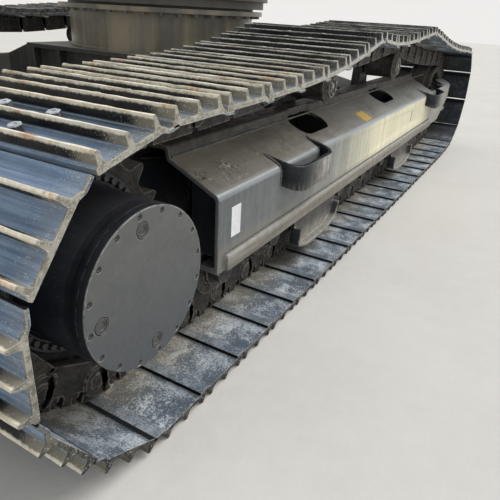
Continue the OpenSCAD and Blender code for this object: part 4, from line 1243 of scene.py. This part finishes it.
def roller_bolts(material):
    """The bolts in the carrier rollers' caps, with a ring round them and a hub."""
    head = bolt_head("cap_bolt", 0.0085, 0.0065, (0, 0, 0))
    heads, rings = [], []
    y = -TRACK_Y - 0.14
    for distance, *_ in CARRIERS:
        x = SPROCKET.x + distance
        corners = [corner.co for corner in frame["nodes"]["right_carrier_rollers"].data.vertices]
        heights = [at.z for at in corners if abs(at.x - x) < 0.1]
        middle = Vector((x, 0, (min(heights) + max(heights)) / 2))
        for i in range(CAP_BOLTS):
            bolt_x, bolt_z = on_circle(middle, CAP_BOLT_RING, math.tau * (i + 0.5) / CAP_BOLTS)
            heads.append(on_cross_axis(head, (bolt_x, y, bolt_z)))
        ring = [(0.0465, y + 0.001), (0.0465, y - 0.003), (0.0505, y - 0.003), (0.0505, y + 0.001)]
        hub = [(0.0, y + 0.001), (0.0, y - 0.004), (0.013, y - 0.004), (0.015, y + 0.001)]
        rings.append(smooth(spun("cap_ring", ring, middle, 48), 30))
        rings.append(smooth(spun("cap_hub", hub, middle, 32), 30))
    removed(head)
    pair(joined("right_roller_bolts", heads + rings), material, "chain_steel")


def ring_bolts(dark, bright):
    """Bolts that hold the inner race down, and the row that hangs under the pedestal's flange."""
    race_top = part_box("slew_ring_inner")[1].z
    flange_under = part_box("pedestal")[1].z - PEDESTAL_FLANGE_T
    turns = [Matrix.Rotation(math.tau * (i + 0.25) / RING_BOLTS, 4, "Z") for i in range(RING_BOLTS)]
    head = bolt_head("race_bolt", 0.0165, 0.0115, (RACE_BOLT_RING, 0, race_top))
    heads = [copied(head, turn) for turn in turns]
    nut = bolt_head("flange_bolt", 0.015, 0.014, (PEDESTAL_BOLT_RING, 0, -flange_under))
    nuts = [copied(nut, turn, Matrix.Rotation(math.pi, 4, "X")) for turn in turns]
    removed(head, nut)
    dressed(joined("race_bolts", heads), dark, "ring_steel")
    dressed(joined("flange_bolts", nuts), bright, "ring_steel")


def softened(node, finish, slot):
    """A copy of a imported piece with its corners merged, rounded and shaded smooth."""
    piece = copied(frame["nodes"][node], name=node + "_soft")
    piece.parent = None
    piece.hide_render = False
    for key in list(piece.keys()):
        del piece[key]
    outwards(piece, 0.00002)
    dressed(bevelled(piece, 0.002, 2, 40), finish, slot, node)


bpy.context.scene.view_settings.view_transform = "Standard"
set_camera()
set_light()
lay_floor(floor_grey())

chain = chain_steel()
cast = worked_paint("cast_parts", (0.055, 0.05, 0.043), (0.16, 0.145, 0.12), depth=0.002)
zinc = worked_paint("bolt_steel", (0.022, 0.024, 0.027), (0.55, 0.59, 0.62), rub=(0.4, 0.42, 0.43),
                    edge=0.001, patch_share=0.3, dust_share=1.0, speck_share=0.1)
dark_bolt = worked_paint("dark_bolts", (0.035, 0.034, 0.032), (0.12, 0.11, 0.09), edge=0.001, dust_share=0.3)
track_shoes(shoe_steel(), zinc)
track_chains(chain)
final_drive(drum_paint(), cover_paint(), dark_bolt,
            worked_paint("plug_finish", (0.052, 0.055, 0.057), (0.11, 0.1, 0.08), rub=(0.2, 0.19, 0.16),
                         edge=0.0012))
frame_welds(worked_paint("weld_finish", (0.125, 0.12, 0.105), (0.24, 0.23, 0.2), rub=(0.3, 0.3, 0.28),
                         edge=0.001))
# painted shade: the plates at the frame's open rear end are painted near black
end_gussets(worked_paint("gusset_paint", (0.0045, 0.0065, 0.0105), (0.045, 0.045, 0.045), dust_share=0.2,
                         run_share=0.2, speck_share=0.15))
labels(label_paint("white_label", (0.74, 0.74, 0.76), (0.45, 0.43, 0.4)),
       label_paint("yellow_label", (0.62, 0.4, 0.1), (0.38, 0.27, 0.12)))
roller_bolts(worked_paint("cap_bolts", (0.26, 0.25, 0.21), (0.5, 0.47, 0.4), edge=0.001, patch_share=0.9))
ring_bolts(dark_bolt, worked_paint("flange_bolts", (0.13, 0.125, 0.11), (0.3, 0.28, 0.24), edge=0.001))

ring_steel = worked_paint("ring_steel", (0.044, 0.043, 0.035), (0.16, 0.145, 0.11), edge=0.003,
                          runs=(9.0, 9.0, 0.8), dust_share=0.4)
pedestal_paint = worked_paint("pedestal_paint", (0.105, 0.1, 0.078), (0.62, 0.47, 0.28), gloss=(0.28, 0.5),
                              runs=(7.0, 7.0, 0.4), dust_share=0.2, speck_share=0.1, depth=0.0004)
dark_frame = worked_paint("dark_frame", (0.017, 0.018, 0.018), (0.26, 0.255, 0.22), dust_share=0.9,
                          run_share=0.12)
# columns: part of the node's name, finish; the first that fits is taken
NODE_FINISHES = [
    ("side_frame", frame_steel()), ("steps", step_paint()), ("track_guards", guard_steel()),
    ("slew_ring", ring_steel), ("pedestal", pedestal_paint), ("idler_yoke", cast), ("swivel_joint", cast),
    ("travel_motor", cast), ("track_adjuster", cast), ("sprocket", chain), ("idler", chain),
    ("rollers", chain), ("", dark_frame),
]
SOFTENED = ["side_frame", "steps", "track_guards", "motor_guard", "carrier_brackets"]
for part in frame["record"]["subparts"]:
    name = part["node"]
    finish = next(finish for words, finish in NODE_FINISHES if words in name)
    if any(words in name for words in SOFTENED):
        softened(name, finish, part["material_slot"])
    else:
        materials = frame["nodes"][name].data.materials
        materials.clear()
        materials.append(finish)
